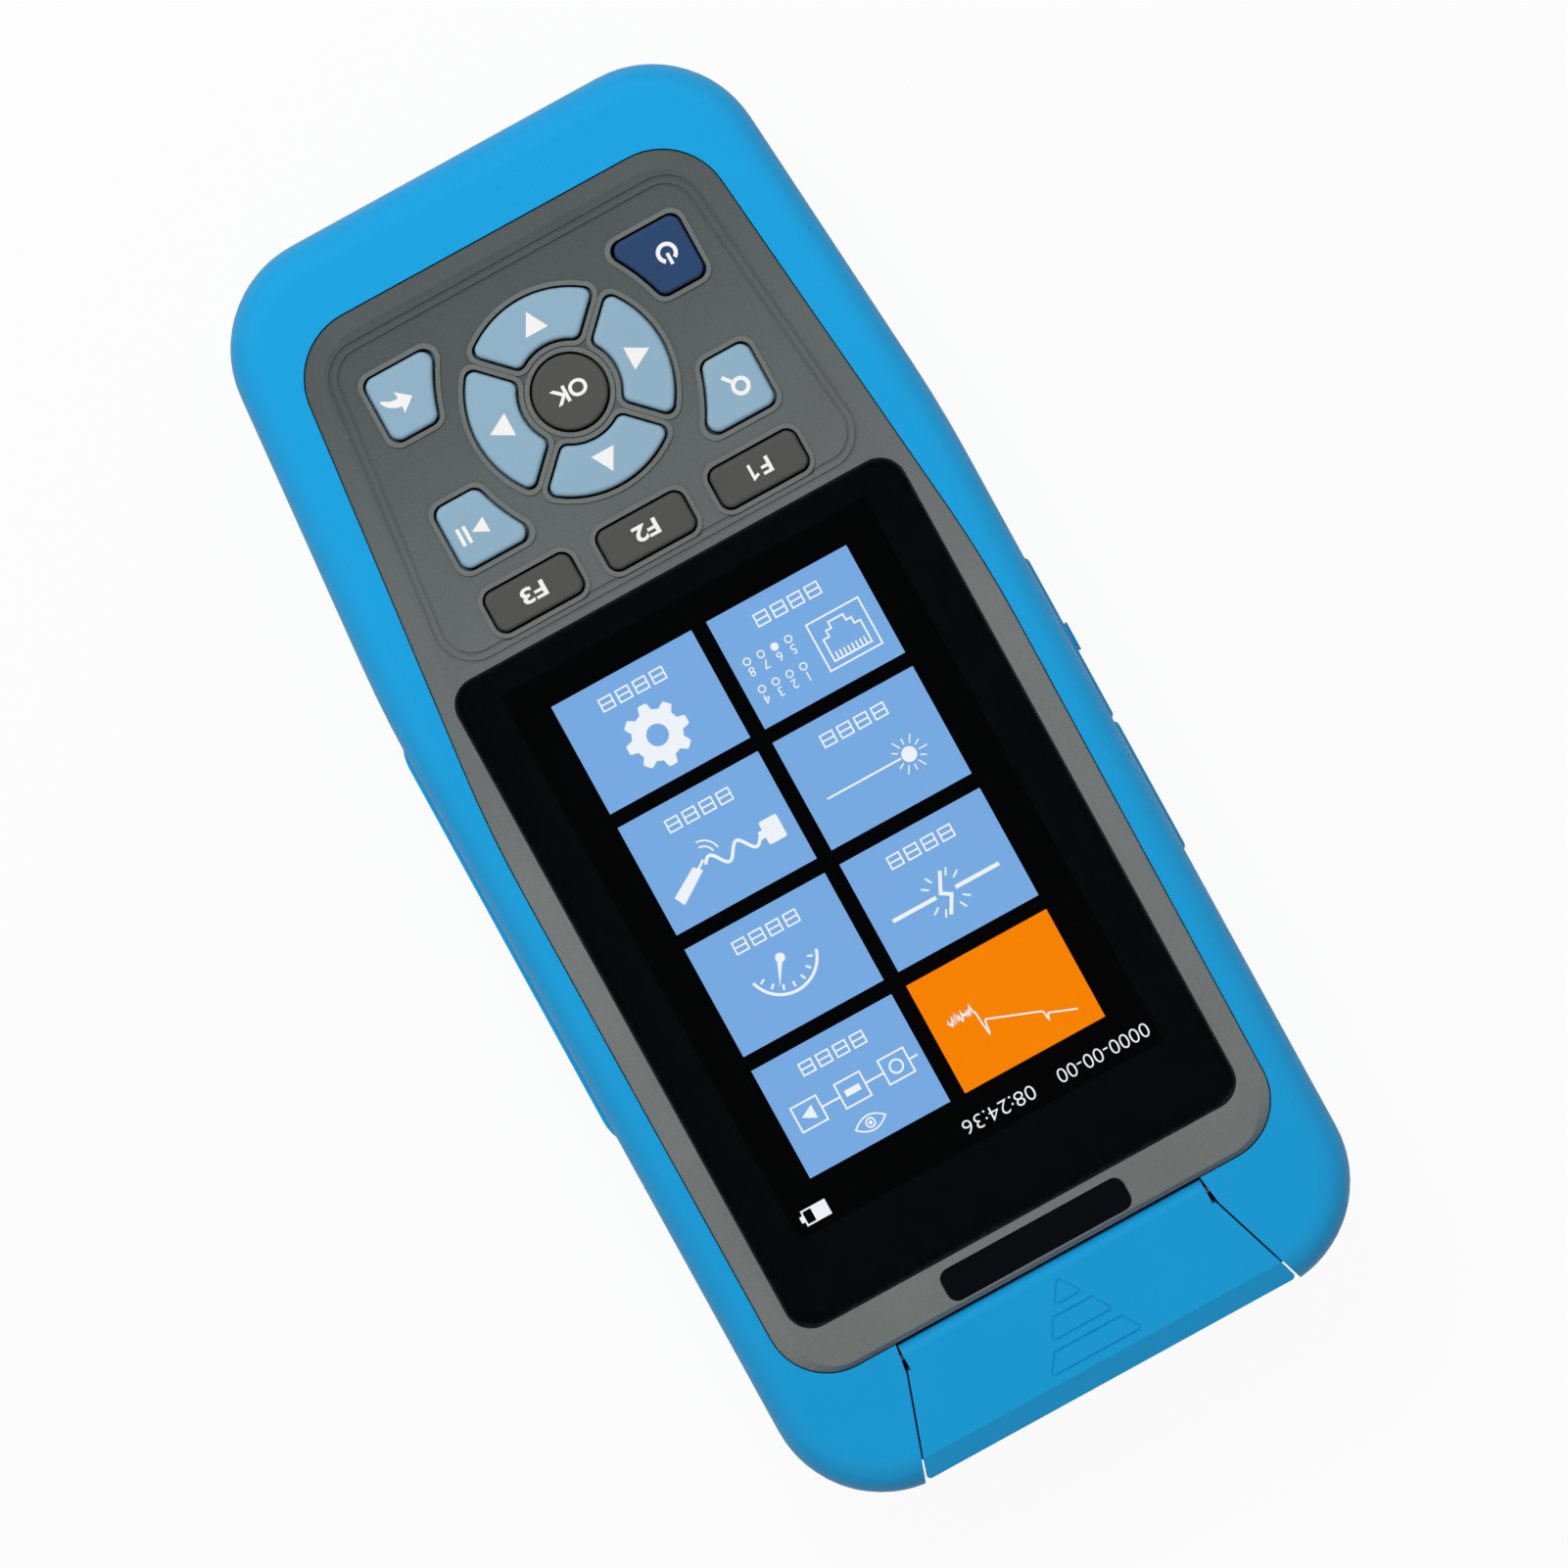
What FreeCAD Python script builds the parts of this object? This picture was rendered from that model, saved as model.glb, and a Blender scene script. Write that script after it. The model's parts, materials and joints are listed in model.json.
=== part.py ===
"""Handheld optical time domain reflectometer, as an assembly of separate pieces, in millimetres.

The instrument lies on its back. X points to its right, Y to the port end and Z out of the screen.
The origin is below the middle of the outline, at the level of the lowest face of the rubber bumper.
"""

import FreeCAD, Part
import Sketcher

import math
import os
import re

document = FreeCAD.newDocument("Reflectometer")
sheet = document.addObject("Spreadsheet::Sheet", "Sizes")

# The driving dimensions, each with the words that say what it is
SIZES = [
    ("body_length", 166, "whole length, over the bumper"),
    ("top_width", 75.9, "width over the bumper at the port end"),
    ("waist_width", 76.1, "width over the bumper at its widest"),
    ("foot_width", 67.4, "width that the sides would have at the lower end"),
    ("waist_y", -29, "where the sides are widest"),
    ("waist_round", 150, "radius that softens the side at its widest"),
    ("top_corner", 14, "corner radius at the port end"),
    ("foot_corner", 14, "corner radius at the lower end"),
    ("bumper_height", 34.3, "height of the bumper's front face"),
    ("bumper_wall", 2.4, "thickness of the bumper at the sides"),
    ("bumper_front_round", 4.1, "roll of the bumper's front edge"),
    ("bumper_back_round", 3, "roll of the bumper's back edge"),
    ("bumper_front_lip", 1.2, "thickness of the bumper over the front shell"),
    ("bumper_back_lip", 0.8, "thickness of the bumper under the rear shell"),
    ("bumper_back_rim", 5.6, "width of the bumper's rim on the back"),
    ("grip_proud", 0.5, "how far the right-hand grip stands out"),
    ("grip_low_y", -25, "lower end of the grip"),
    ("grip_high_y", 30, "upper end of the grip"),
    ("skin_gap", 0.1, "gap between the bumper and the shells"),
    ("shell_wall", 2, "wall of both shells"),
    ("split_height", 17, "height at which the two shells meet"),
    ("seam_gap", 0.1, "gap between the two shells"),
    ("shell_round", 3, "edge radius of the shells under the bumper"),
    ("bumper_rim_top", 4.75, "bumper beside the grey face at the port end"),
    ("bumper_rim_waist", 4.55, "bumper beside the grey face at its widest"),
    ("bumper_rim_foot", 6.7, "bumper beside the grey face at the lower end"),
    ("face_waist_y", -10, "where the grey face is widest"),
    ("face_top_y", 66.2, "upper edge of the grey face"),
    ("face_foot_y", -72.4, "lower edge of the grey face"),
    ("face_top_corner", 7.5, "its upper corner radius"),
    ("face_foot_corner", 8.5, "its lower corner radius"),
    ("face_height", 34.8, "height of the grey face"),
    ("face_slope_wide", 2.2, "width of the slope along its edge"),
    ("face_slope_top", 0.6, "width of the slope at the face's upper edge"),
    ("face_slope_deep", 0.7, "fall of that slope"),
    ("face_gap", 0.15, "gap between the grey face and the bumper"),
    ("plate_underside", 31.6, "height of the front plate's inner side"),
    ("window_side", 3.35, "grey face at each side of the display window, at its widest"),
    ("window_top_y", 60.05, "its upper edge"),
    ("window_foot_y", -27.15, "its lower edge"),
    ("window_corner", 3.3, "its corner radius"),
    ("window_thick", 1.4, "its thickness"),
    ("window_sunk", 0.1, "how far it lies below the grey face"),
    ("window_gap", 0.12, "gap around the window"),
    ("window_chamfer", 0.25, "bevel along its edge"),
    ("lcd_centre_y", 13.15, "middle of the display's picture"),
    ("lcd_picture_width", 48.96, "width of the display's picture"),
    ("lcd_picture_length", 73.44, "length of the display's picture"),
    ("lcd_module_width", 55.6, "width of the display module"),
    ("lcd_top_border", 3, "module beyond the picture at the top"),
    ("lcd_foot_border", 5.4, "module beyond the picture at the bottom"),
    ("lcd_module_thick", 3, "thickness of the display module"),
    ("seat_gap", 0.2, "gap where one inner piece sits on another"),
    ("plate_width", 24.6, "width of the bare name plate"),
    ("plate_low_y", 61.35, "its lower edge"),
    ("plate_high_y", 65.3, "its upper edge"),
    ("plate_corner", 1.3, "its corner radius"),
    ("plate_thick", 0.6, "its thickness"),
    ("field_top_y", -28.45, "upper line of the keypad field"),
    ("field_foot_y", -68.7, "lower line of the keypad field"),
    ("field_top_width", 56.6, "its width at the top"),
    ("field_foot_width", 48.2, "its width at the bottom"),
    ("field_corner", 4.5, "its corner radius"),
    ("field_groove", 0.4, "width of each of the two grooves around it"),
    ("field_step", 1, "distance from the outer groove to the inner one"),
    ("field_depth", 0.25, "depth of those grooves"),
    ("ring_centre_y", -51.35, "middle of the ring of arrow keys"),
    ("ring_outer", 12.4, "outer radius of the arrow keys"),
    ("ring_inner", 6.4, "inner radius of the arrow keys"),
    ("ring_slot", 0.9, "half of the slot between two arrow keys"),
    ("ring_round", 1.0, "corner radius of the arrow keys"),
    ("round_key", 4.5, "radius of the round middle key"),
    ("corner_key_outer_x", 21.1, "outer side of the corner keys"),
    ("corner_key_near_y", 4.6, "their side nearest to the middle line of the ring"),
    ("corner_key_far_y", 12.75, "their side furthest from it"),
    ("corner_key_bend", 23.5, "radius of their side that faces the ring"),
    ("corner_key_bend_x", 7.6, "that side's centre, beyond the ring's centre"),
    ("corner_key_bend_y", 1.15, "and how far below it"),
    ("corner_key_round", 1.3, "their corner radius"),
    ("function_key_width", 11.4, "width of the function keys"),
    ("function_key_length", 5.1, "length of the function keys"),
    ("function_key_pitch", 15.2, "distance from one to the next"),
    ("function_key_y", -32.55, "where they stand"),
    ("function_key_round", 1.2, "their corner radius"),
    ("key_top", 36, "height of the key caps"),
    ("key_gap", 0.32, "gap around a key cap"),
    ("key_edge", 0.55, "rounding of a cap's upper edge"),
    ("key_rim", 0.55, "width of the raised rim around a key"),
    ("key_rim_height", 0.3, "height of that rim"),
    ("key_flange", 0.5, "how far a key's flange reaches under the plate"),
    ("key_flange_thick", 0.8, "thickness of that flange"),
    ("key_stop_gap", 0.1, "gap between flange and plate at rest"),
    ("key_travel", 0.6, "how far a key can be pressed"),
    ("key_floor_gap", 0.08, "gap left under a pressed key"),
    ("mat_width", 46.8, "width of the silicone keypad mat"),
    ("mat_top_y", -29.55, "its upper edge"),
    ("mat_foot_y", -70.4, "its lower edge"),
    ("mat_thick", 0.9, "its thickness"),
    ("key_board_thick", 1.2, "thickness of the keypad's circuit board"),
    ("key_post", 2.2, "radius of the posts that carry that board"),
    ("key_post_x", 18, "the two side posts, from the middle"),
    ("key_post_foot_y", -67.6, "where the lower post stands"),
    ("post_gap", 0.3, "gap around a post that passes through a piece"),
    ("board_bottom", 22.4, "height of the main board's lower face"),
    ("board_thick", 1.6, "its thickness"),
    ("board_width", 48, "its width"),
    ("chip_thick", 1.4, "thickness of the chips on it"),
    ("board_top_y", 60, "its upper edge"),
    ("board_foot_y", -28, "its lower edge"),
    ("board_lobe_back", 2.6, "how far its lobe for the side sockets ends behind their faces"),
    ("board_post_x", 21, "its posts, from the middle"),
    ("board_post_top_y", 57, "the upper posts"),
    ("board_post_foot_y", -24.5, "the lower posts, on the battery bay"),
    ("board_post", 2.6, "radius of its posts"),
    ("bay_side", 12.35, "from the battery bay to the side of the instrument"),
    ("bay_top_y", 4, "inner upper end of the bay"),
    ("bay_foot_y", -58, "inner lower end of the bay"),
    ("bay_height", 19.4, "inner height of the bay's roof"),
    ("bay_wall", 1.4, "wall of the bay"),
    ("battery_gap", 0.3, "gap around the battery"),
    ("battery_round", 3, "edge radius of the battery"),
    ("cover_ledge", 2.2, "ledge on which the battery cover rests"),
    ("cover_thick", 1.8, "thickness of the battery cover"),
    ("cover_gap", 0.25, "gap around the battery cover"),
    ("cover_corner", 3.5, "its corner radius"),
    ("cover_screw_y", 7.8, "its two screws, at the upper end"),
    ("cover_screw_x", 17, "and from the middle"),
    ("grip_line_pitch", 1.9, "distance between the grip lines on the battery cover"),
    ("grip_line_width", 0.8, "their width"),
    ("grip_line_depth", 0.4, "their depth"),
    ("grip_line_reach", 11, "half of their length"),
    ("grip_line_y", -2, "the first of them"),
    ("recess_floor", 7, "height of the port recess's floor"),
    ("recess_knee_deep", 3.8, "length of the recess's steeper part beside the hinge"),
    ("recess_knee_wide", 0.55, "how much each side of the recess widens over that part"),
    ("recess_end_wide", 4.4, "how much each side widens from there to the end of the instrument"),
    ("recess_inner_width", 41.2, "width of the port recess at its back"),
    ("panel_thick", 2, "thickness of the port panel"),
    ("panel_ledge", 1.6, "ledge that holds the port panel"),
    ("panel_gap", 0.15, "gap around the port panel"),
    ("panel_side_gap", 0.3, "gap between the port panel and the sides of the recess"),
    ("hinge_room", 0.6, "gap between the port panel and the hinge barrel"),
    ("port_height", 18.5, "height of the fibre ports' centre line"),
    ("port_pitch", 12.6, "distance from one fibre port to the next"),
    ("ferrule_bore", 1.26, "radius of the bores for a 2.5 mm ferrule"),
    ("adapter_length", 8.2, "length of the fibre adapter outside the panel"),
    ("adapter_barrel", 4, "radius of the fibre adapter's barrel"),
    ("adapter_flange", 5.4, "radius of its flange"),
    ("adapter_flange_thick", 1.6, "thickness of its flange"),
    ("adapter_tail", 3.5, "radius of its tail behind the panel"),
    ("adapter_tail_length", 7.5, "length of its tail"),
    ("sleeve_wall", 0.5, "wall of the sleeve around a ferrule bore"),
    ("barrel_wall", 1.1, "wall of an adapter's barrel"),
    ("meter_barrel", 4.8, "radius of the power meter's barrel"),
    ("locator_barrel", 3.4, "radius of the fault locator's barrel"),
    ("locator_length", 9.6, "length of the fault locator outside the panel"),
    ("nut_across", 5.4, "nut, from centre to corner"),
    ("nut_thick", 2, "thickness of a nut"),
    ("flap_gap", 0.25, "gap between the flap and the bumper"),
    ("flap_height", 34.3, "height of the flap's upper face"),
    ("flap_end_y", 82.4, "outer face of the flap"),
    ("flap_top_wall", 2.2, "thickness of the flap's top"),
    ("flap_end_wall", 2, "thickness of the flap's end"),
    ("flap_side_wall", 1.4, "thickness of the flap's sides"),
    ("flap_bevel", 1.3, "depth of the bevel along the flap's outer edge"),
    ("flap_bevel_long", 2.6, "length of that bevel"),
    ("flap_corner", 0.5, "rounding of the flap's outer corners"),
    ("flap_corner_trim", 0.15, "how far its hinge end stays from the bumper"),
    ("flap_swing_room", 0.1, "gap left under its corners when it stands open"),
    ("hinge_back_gap", 0.3, "gap between the hinge barrel and the face"),
    ("hinge_barrel", 1.6, "radius of the flap's hinge barrel"),
    ("hinge_pin", 0.45, "radius of the hinge pin"),
    ("hinge_fit", 0.04, "running clearance of the pin in the barrel"),
    ("hinge_grip", 3, "how deep each end of the pin sits in the shell"),
    ("hinge_lug", 0.55, "wall of the shell's lug above the pin"),
    ("arrow_depth", 0.15, "depth of the arrow's outline on the flap"),
    ("arrow_line", 0.25, "width of that outline"),
    ("arrow_round", 0.4, "its corner radius"),
    ("arrow_tip_y", 68.4, "tip of the arrow"),
    ("side_door_low", 5.5, "lower edge of the side covers"),
    ("side_door_high", 27, "upper edge of the side covers"),
    ("side_door_foot_y", -8.35, "lower end of the charging cover"),
    ("side_door_split_y", 13.85, "where the two side covers meet"),
    ("side_door_top_y", 31.65, "upper end of the network cover"),
    ("side_door_proud", 0.55, "how far the side covers stand out"),
    ("side_door_thick", 2.9, "their thickness"),
    ("side_door_gap", 0.3, "gap around them"),
    ("side_door_round", 0.8, "rounding of their outer edges"),
    ("tab_proud", 0.45, "how far the pull tab stands out"),
    ("tab_length", 3.7, "length of the pull tab"),
    ("tab_height", 5, "height of the pull tab"),
    ("socket_back", 1.05, "how far the side sockets lie behind the covers"),
    ("lan_width", 16, "width of the network socket"),
    ("lan_height", 13.4, "height of the network socket"),
    ("lan_depth", 16, "depth of the network socket"),
    ("lan_mouth_width", 11.8, "width of its mouth"),
    ("lan_mouth_height", 6.9, "height of its mouth"),
    ("lan_mouth_depth", 12.5, "depth of its mouth"),
    ("lan_mouth_low", 4.4, "its mouth above its lower face"),
    ("latch_width", 6.2, "width of the slot for the plug's latch"),
    ("latch_drop", 2.6, "how far that slot goes below the mouth"),
    ("contact_pitch", 1.02, "distance from one contact to the next"),
    ("contact_width", 0.45, "width of a contact"),
    ("usb_width", 9, "width of the charging socket"),
    ("usb_height", 3.3, "height of the charging socket"),
    ("usb_depth", 7.4, "depth of the charging socket"),
    ("usb_wall", 0.35, "wall of the charging socket"),
    ("window_cut_gap", 0.4, "gap between a side socket and the shells"),
    ("module_side", 17.05, "from the optical module's case to the side, had it stood in the middle"),
    ("module_x", 5, "middle of the optical module"),
    ("module_foot_y", 9, "its lower end"),
    ("module_top_y", 47, "its upper end"),
    ("module_low", 12, "height of its lower face"),
    ("module_high", 21.4, "height of its upper face"),
    ("reel_radius", 17, "outer radius of the fibre reel"),
    ("reel_hub", 10.5, "radius of the reel's hub"),
    ("reel_flange", 0.8, "thickness of the reel's flanges"),
    ("reel_height", 5.4, "height of the fibre reel"),
    ("reel_y", 31, "middle of the fibre reel"),
    ("coil_thick", 2.6, "thickness of the coiled fibre"),
    ("screw_head", 2.6, "head radius of the case screws"),
    ("screw_shank", 1.4, "shank radius of the case screws"),
    ("screw_head_thick", 1.6, "thickness of a screw's head"),
    ("small_head", 1.7, "head radius of the small screws"),
    ("small_shank", 0.9, "shank radius of the small screws"),
    ("small_head_thick", 0.9, "head thickness of the small screws"),
    ("case_boss", 3.6, "radius of the bosses around the case screws"),
    ("case_screw_top_side", 8.45, "upper case screws, from the side"),
    ("case_screw_top_y", 56, "upper case screws"),
    ("case_screw_foot_side", 6.4, "lower case screws, from where the side would end"),
    ("case_screw_foot_y", -69, "lower case screws"),
    ("screw_hole_gap", 0.15, "gap around a screw"),
    ("buzzer_radius", 4.5, "radius of the buzzer"),
    ("buzzer_height", 2.6, "height of the buzzer"),
    ("buzzer_x", -13.5, "where the buzzer stands, across"),
    ("buzzer_y", 52.5, "and along"),
    ("contact_leaf", 0.3, "thickness of the battery's spring contacts"),
]

for row, (alias, number, words) in enumerate(SIZES, start=1):
    sheet.set(f"A{row}", words)
    sheet.set(f"B{row}", str(number))
    sheet.setAlias(f"B{row}", alias)
document.recompute()

# Sizes that follow from the driving ones, each written once as a formula
FORMULAS = {
    "half_length": "body_length/2",
    "face_top_width": "top_width - 2*bumper_rim_top",
    "face_waist_width": "waist_width - 2*bumper_rim_waist",
    "face_foot_width": "foot_width - 2*bumper_rim_foot",
    "window_width": "face_waist_width - 2*window_side",
    "case_screw_top_x": "top_width/2 - case_screw_top_side",
    "case_screw_foot_x": "foot_width/2 - case_screw_foot_side",
    "bay_width": "waist_width - 2*bay_side",
    "module_width": "waist_width - 2*module_side",
    "side_slope": "(top_width - waist_width)/2/(half_length - waist_y)",
    "side_at_foot_door": "waist_width/2 + side_slope*(side_door_foot_y - waist_y)",
    "side_at_top_door": "waist_width/2 + side_slope*(side_door_top_y - waist_y)",
    "side_door_x": "max(side_at_foot_door; side_at_top_door) + side_door_proud",
    "socket_face_x": "side_door_x - side_door_thick - socket_back",
    "board_lobe_x": "socket_face_x - board_lobe_back",
    "panel_half_width": "recess_inner_width/2 - panel_side_gap",
    "panel_top": "hinge_z - hinge_barrel - hinge_room",
    "shell_inset": "bumper_wall + skin_gap",
    "shell_low": "bumper_back_lip + skin_gap",
    "shell_high": "bumper_height - bumper_front_lip - skin_gap",
    "cavity_inset": "shell_inset + shell_wall",
    "cavity_top_y": "face_top_y - panel_thick - panel_ledge",
    "window_top": "face_height - window_sunk",
    "window_floor": "window_top - window_thick",
    "lcd_top": "plate_underside - seat_gap",
    "lcd_low_y": "lcd_centre_y - lcd_picture_length/2 - lcd_foot_border",
    "lcd_high_y": "lcd_centre_y + lcd_picture_length/2 + lcd_top_border",
    "flange_top": "plate_underside - key_stop_gap",
    "key_bottom": "flange_top - key_flange_thick",
    "mat_top": "key_bottom - key_travel - key_floor_gap",
    "key_board_top": "mat_top - mat_thick",
    "key_board_bottom": "key_board_top - key_board_thick",
    "board_top": "board_bottom + board_thick",
    "cover_bottom": "shell_low",
    "cover_top": "cover_bottom + cover_thick",
    "battery_low": "cover_top + battery_gap",
    "battery_high": "bay_height - battery_gap",
    "bay_roof": "bay_height + bay_wall",
    "panel_back_y": "face_top_y - panel_thick",
    "recess_knee_y": "face_top_y + recess_knee_deep",
    "hinge_y": "face_top_y + hinge_back_gap + hinge_barrel",
    "hinge_z": "flap_height - hinge_barrel",
    "side_door_hinge_x": "side_door_x - side_door_thick/2",
    "side_door_hinge_z": "side_door_low + side_door_thick/2",
    "lan_y": "(side_door_split_y + side_door_top_y)/2",
    "lan_low": "board_bottom - lan_height",
    "usb_y": "(side_door_foot_y + side_door_split_y)/2",
    "usb_low": "board_bottom - usb_height",
    "reel_low": "module_low - seat_gap - reel_height",
}

WORD = re.compile(r"[a-z][a-z_]*")
ALIASES = {alias for alias, number, words in SIZES}


def formula(text):
    """A size or a sum of sizes, written with the sheet's cells."""
    def cell(match):
        word = match.group(0)
        if word in ALIASES:
            return "Sizes." + word
        if word in FORMULAS:
            return "(" + formula(FORMULAS[word]) + ")"
        return word
    return WORD.sub(cell, str(text))


def size(text):
    """The number that a formula has now."""
    found = sheet.evalExpression(formula(text))
    return float(getattr(found, "Value", found))


def bind(thing, field, text):
    """Tie one field of a thing to the sheet."""
    thing.setExpression(field, formula(text))


def new_body(name):
    body = document.addObject("PartDesign::Body", name)
    body.Label = name
    return body


def new_sketch(body, name, plane="XY_Plane", along="0", across="0", out="0"):
    """A sketch on one of the body's own origin planes, moved along, across and out of it."""
    sketch = body.newObject("Sketcher::SketchObject", name)
    support = [item for item in body.Origin.OriginFeatures if item.Role == plane][0]
    sketch.AttachmentSupport = (support, [""])
    sketch.MapMode = "FlatFace"
    bind(sketch, "AttachmentOffset.Base.x", along)
    bind(sketch, "AttachmentOffset.Base.y", across)
    bind(sketch, "AttachmentOffset.Base.z", out)
    return sketch


def pin_point(sketch, geometry, end, x, y):
    """Hold one point of a sketch at a place given by two formulas."""
    for kind, place in (("DistanceX", x), ("DistanceY", y)):
        number = sketch.addConstraint(Sketcher.Constraint(kind, -1, 1, geometry, end, size(place)))
        bind(sketch, f"Constraints[{number}]", place)


def draw_polygon(sketch, points):
    """A closed outline of straight sides; a corner (x, y, radius) is rounded by an arc of that radius."""
    places = [FreeCAD.Vector(size(point[0]), size(point[1]), 0) for point in points]
    count = len(points)
    starts = list(places)
    ends = list(places)
    bends = {}
    for index, point in enumerate(points):
        if len(point) > 2 and point[2] != "0":
            here = places[index]
            back = (places[index - 1] - here).normalize()
            ahead = (places[(index + 1) % count] - here).normalize()
            half_turn = (math.pi - back.getAngle(ahead)) / 2
            radius = size(point[2])
            ends[index] = here + back * radius * math.tan(half_turn)
            starts[index] = here + ahead * radius * math.tan(half_turn)
            middle = here + (back + ahead).normalize() * radius / math.cos(half_turn)
            bends[index] = (middle, radius)
    first = sketch.GeometryCount
    for index in range(count):
        sketch.addGeometry(Part.LineSegment(starts[index], ends[(index + 1) % count]))
    for index in range(count):
        before = first + (index - 1) % count
        after = first + index
        if index not in bends:
            sketch.addConstraint(Sketcher.Constraint("Coincident", before, 2, after, 1))
            pin_point(sketch, after, 1, points[index][0], points[index][1])
            continue
        middle, radius = bends[index]
        angles = [math.atan2(place.y - middle.y, place.x - middle.x) for place in (ends[index], starts[index])]
        onward = (angles[1] - angles[0]) % (2*math.pi) < math.pi
        low, high = angles if onward else reversed(angles)
        circle = Part.Circle(middle, FreeCAD.Vector(0, 0, 1), radius)
        arc = sketch.addGeometry(Part.ArcOfCircle(circle, low, low + (high - low) % (2*math.pi)))
        corner = sketch.addGeometry(Part.Point(places[index]), True)
        pin_point(sketch, corner, 1, points[index][0], points[index][1])
        sketch.addConstraint(Sketcher.Constraint("PointOnObject", corner, 1, before))
        sketch.addConstraint(Sketcher.Constraint("PointOnObject", corner, 1, after))
        sketch.addConstraint(Sketcher.Constraint("Tangent", before, 2, arc, 1 if onward else 2))
        sketch.addConstraint(Sketcher.Constraint("Tangent", after, 1, arc, 2 if onward else 1))
        number = sketch.addConstraint(Sketcher.Constraint("Radius", arc, radius))
        bind(sketch, f"Constraints[{number}]", points[index][2])


def draw_circle(sketch, x, y, radius):
    number = sketch.addGeometry(Part.Circle(
        FreeCAD.Vector(size(x), size(y), 0), FreeCAD.Vector(0, 0, 1), size(radius)))
    pin_point(sketch, number, 3, x, y)
    index = sketch.addConstraint(Sketcher.Constraint("Radius", number, size(radius)))
    bind(sketch, f"Constraints[{index}]", radius)


def finish_feature(body, kind, name, sketch, length, turned):
    feature = body.newObject("PartDesign::" + kind, name)
    feature.Profile = sketch
    feature.Type = "Length"
    feature.Reversed = turned
    bind(feature, "Length", length)
    document.recompute()
    if "Invalid" in feature.State:
        raise RuntimeError(f"{body.Label}: {name} can't be made")
    return feature


def pad(body, name, sketch, length, turned=False):
    """Add material from a sketch."""
    return finish_feature(body, "Pad", name, sketch, length, turned)


def pocket(body, name, sketch, length, turned=False):
    """Take material away from a sketch; a cut that takes nothing is an error."""
    before = body.Shape.Volume
    feature = finish_feature(body, "Pocket", name, sketch, length, turned)
    if body.Shape.Volume >= before:
        raise RuntimeError(f"{body.Label}: {name} cuts nothing")
    return feature


def round_edges(body, name, radius, chosen, kind="Fillet"):
    """Round, or bevel, the edges of the body that the function chosen picks."""
    edges = [f"Edge{index}" for index, edge in enumerate(body.Shape.Edges, start=1) if chosen(edge)]
    if not edges:
        raise RuntimeError(f"{body.Label}: {name} finds no edge")
    solid = body.Tip
    feature = body.newObject("PartDesign::" + kind, name)
    feature.Base = (solid, edges)
    bind(feature, "Radius" if kind == "Fillet" else "Size", radius)
    document.recompute()
    if "Invalid" in feature.State:
        raise RuntimeError(f"{body.Label}: {name} can't be made")
    return feature


NEAR = 0.01


def level_at(height):
    """Picks the edges that lie at one height."""
    def chosen(edge):
        return abs(edge.BoundBox.ZMin - height) < NEAR and abs(edge.BoundBox.ZMax - height) < NEAR
    return chosen


def prism(body, name, corners, low, high, cut=False):
    """An upright block, or a cut, whose corners are (x, y, radius) and whose ends are two heights."""
    sketch = new_sketch(body, name + "_outline", out=low if not cut else high)
    draw_polygon(sketch, corners)
    height = f"({high}) - ({low})"
    if cut:
        pocket(body, name, sketch, height)
    else:
        pad(body, name, sketch, height)


def both_sides(right):
    """A whole outline from its right half, listed from the top down."""
    left = [(f"-({x})", y, radius) for x, y, radius in reversed(right)]
    return right + left


def rectangle(x_low, y_low, x_high, y_high, radius="0"):
    return [(x_high, y_high, radius), (x_high, y_low, radius), (x_low, y_low, radius), (x_low, y_high, radius)]


def round_bar(body, name, x, y, radius, low, high, cut=False):
    """An upright cylinder, or a round hole, between two heights."""
    sketch = new_sketch(body, name + "_outline", out=low if not cut else high)
    draw_circle(sketch, x, y, radius)
    height = f"({high}) - ({low})"
    if cut:
        pocket(body, name, sketch, height)
    else:
        pad(body, name, sketch, height)


def body_outline(inset):
    """The outline of the whole instrument, moved inwards."""
    return both_sides([
        (f"top_width/2 - ({inset})", f"half_length - ({inset})", f"top_corner - ({inset})"),
        (f"waist_width/2 - ({inset})", "waist_y", "waist_round"),
        (f"foot_width/2 - ({inset})", f"-half_length + ({inset})", f"foot_corner - ({inset})"),
    ])


def face_outline(grow, top_grow=None):
    """The outline of the grey face, moved outwards, and at its upper edge by an amount of its own."""
    top_grow = grow if top_grow is None else top_grow
    return both_sides([
        (f"face_top_width/2 + ({grow})", f"face_top_y + ({top_grow})", f"face_top_corner + ({grow})"),
        (f"face_waist_width/2 + ({grow})", "face_waist_y", "waist_round"),
        (f"face_foot_width/2 + ({grow})", f"face_foot_y - ({grow})", f"face_foot_corner + ({grow})"),
    ])


def cavity_outline(inset):
    """The hollow inside the shells, which ends behind the port panel."""
    return both_sides([
        (f"top_width/2 - ({inset})", "cavity_top_y", "0"),
        (f"waist_width/2 - ({inset})", "waist_y", "waist_round"),
        (f"foot_width/2 - ({inset})", f"-half_length + ({inset})", f"foot_corner - ({inset})"),
    ])


def tool_union(name, tools):
    union = document.addObject("Part::MultiFuse", name)
    union.Shapes = tools
    document.recompute()
    return union


def cut_from(name, base, tool, refined=True):
    """A piece left when a tool is taken out of a base; it must get lighter."""
    before = base.Shape.Volume
    piece = document.addObject("Part::Cut", name)
    piece.Base = base
    piece.Tool = tool
    piece.Label = name
    piece.Refine = refined
    document.recompute()
    if piece.Shape.Volume >= before:
        raise RuntimeError(f"{name}: its tool cuts nothing")
    return piece


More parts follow.
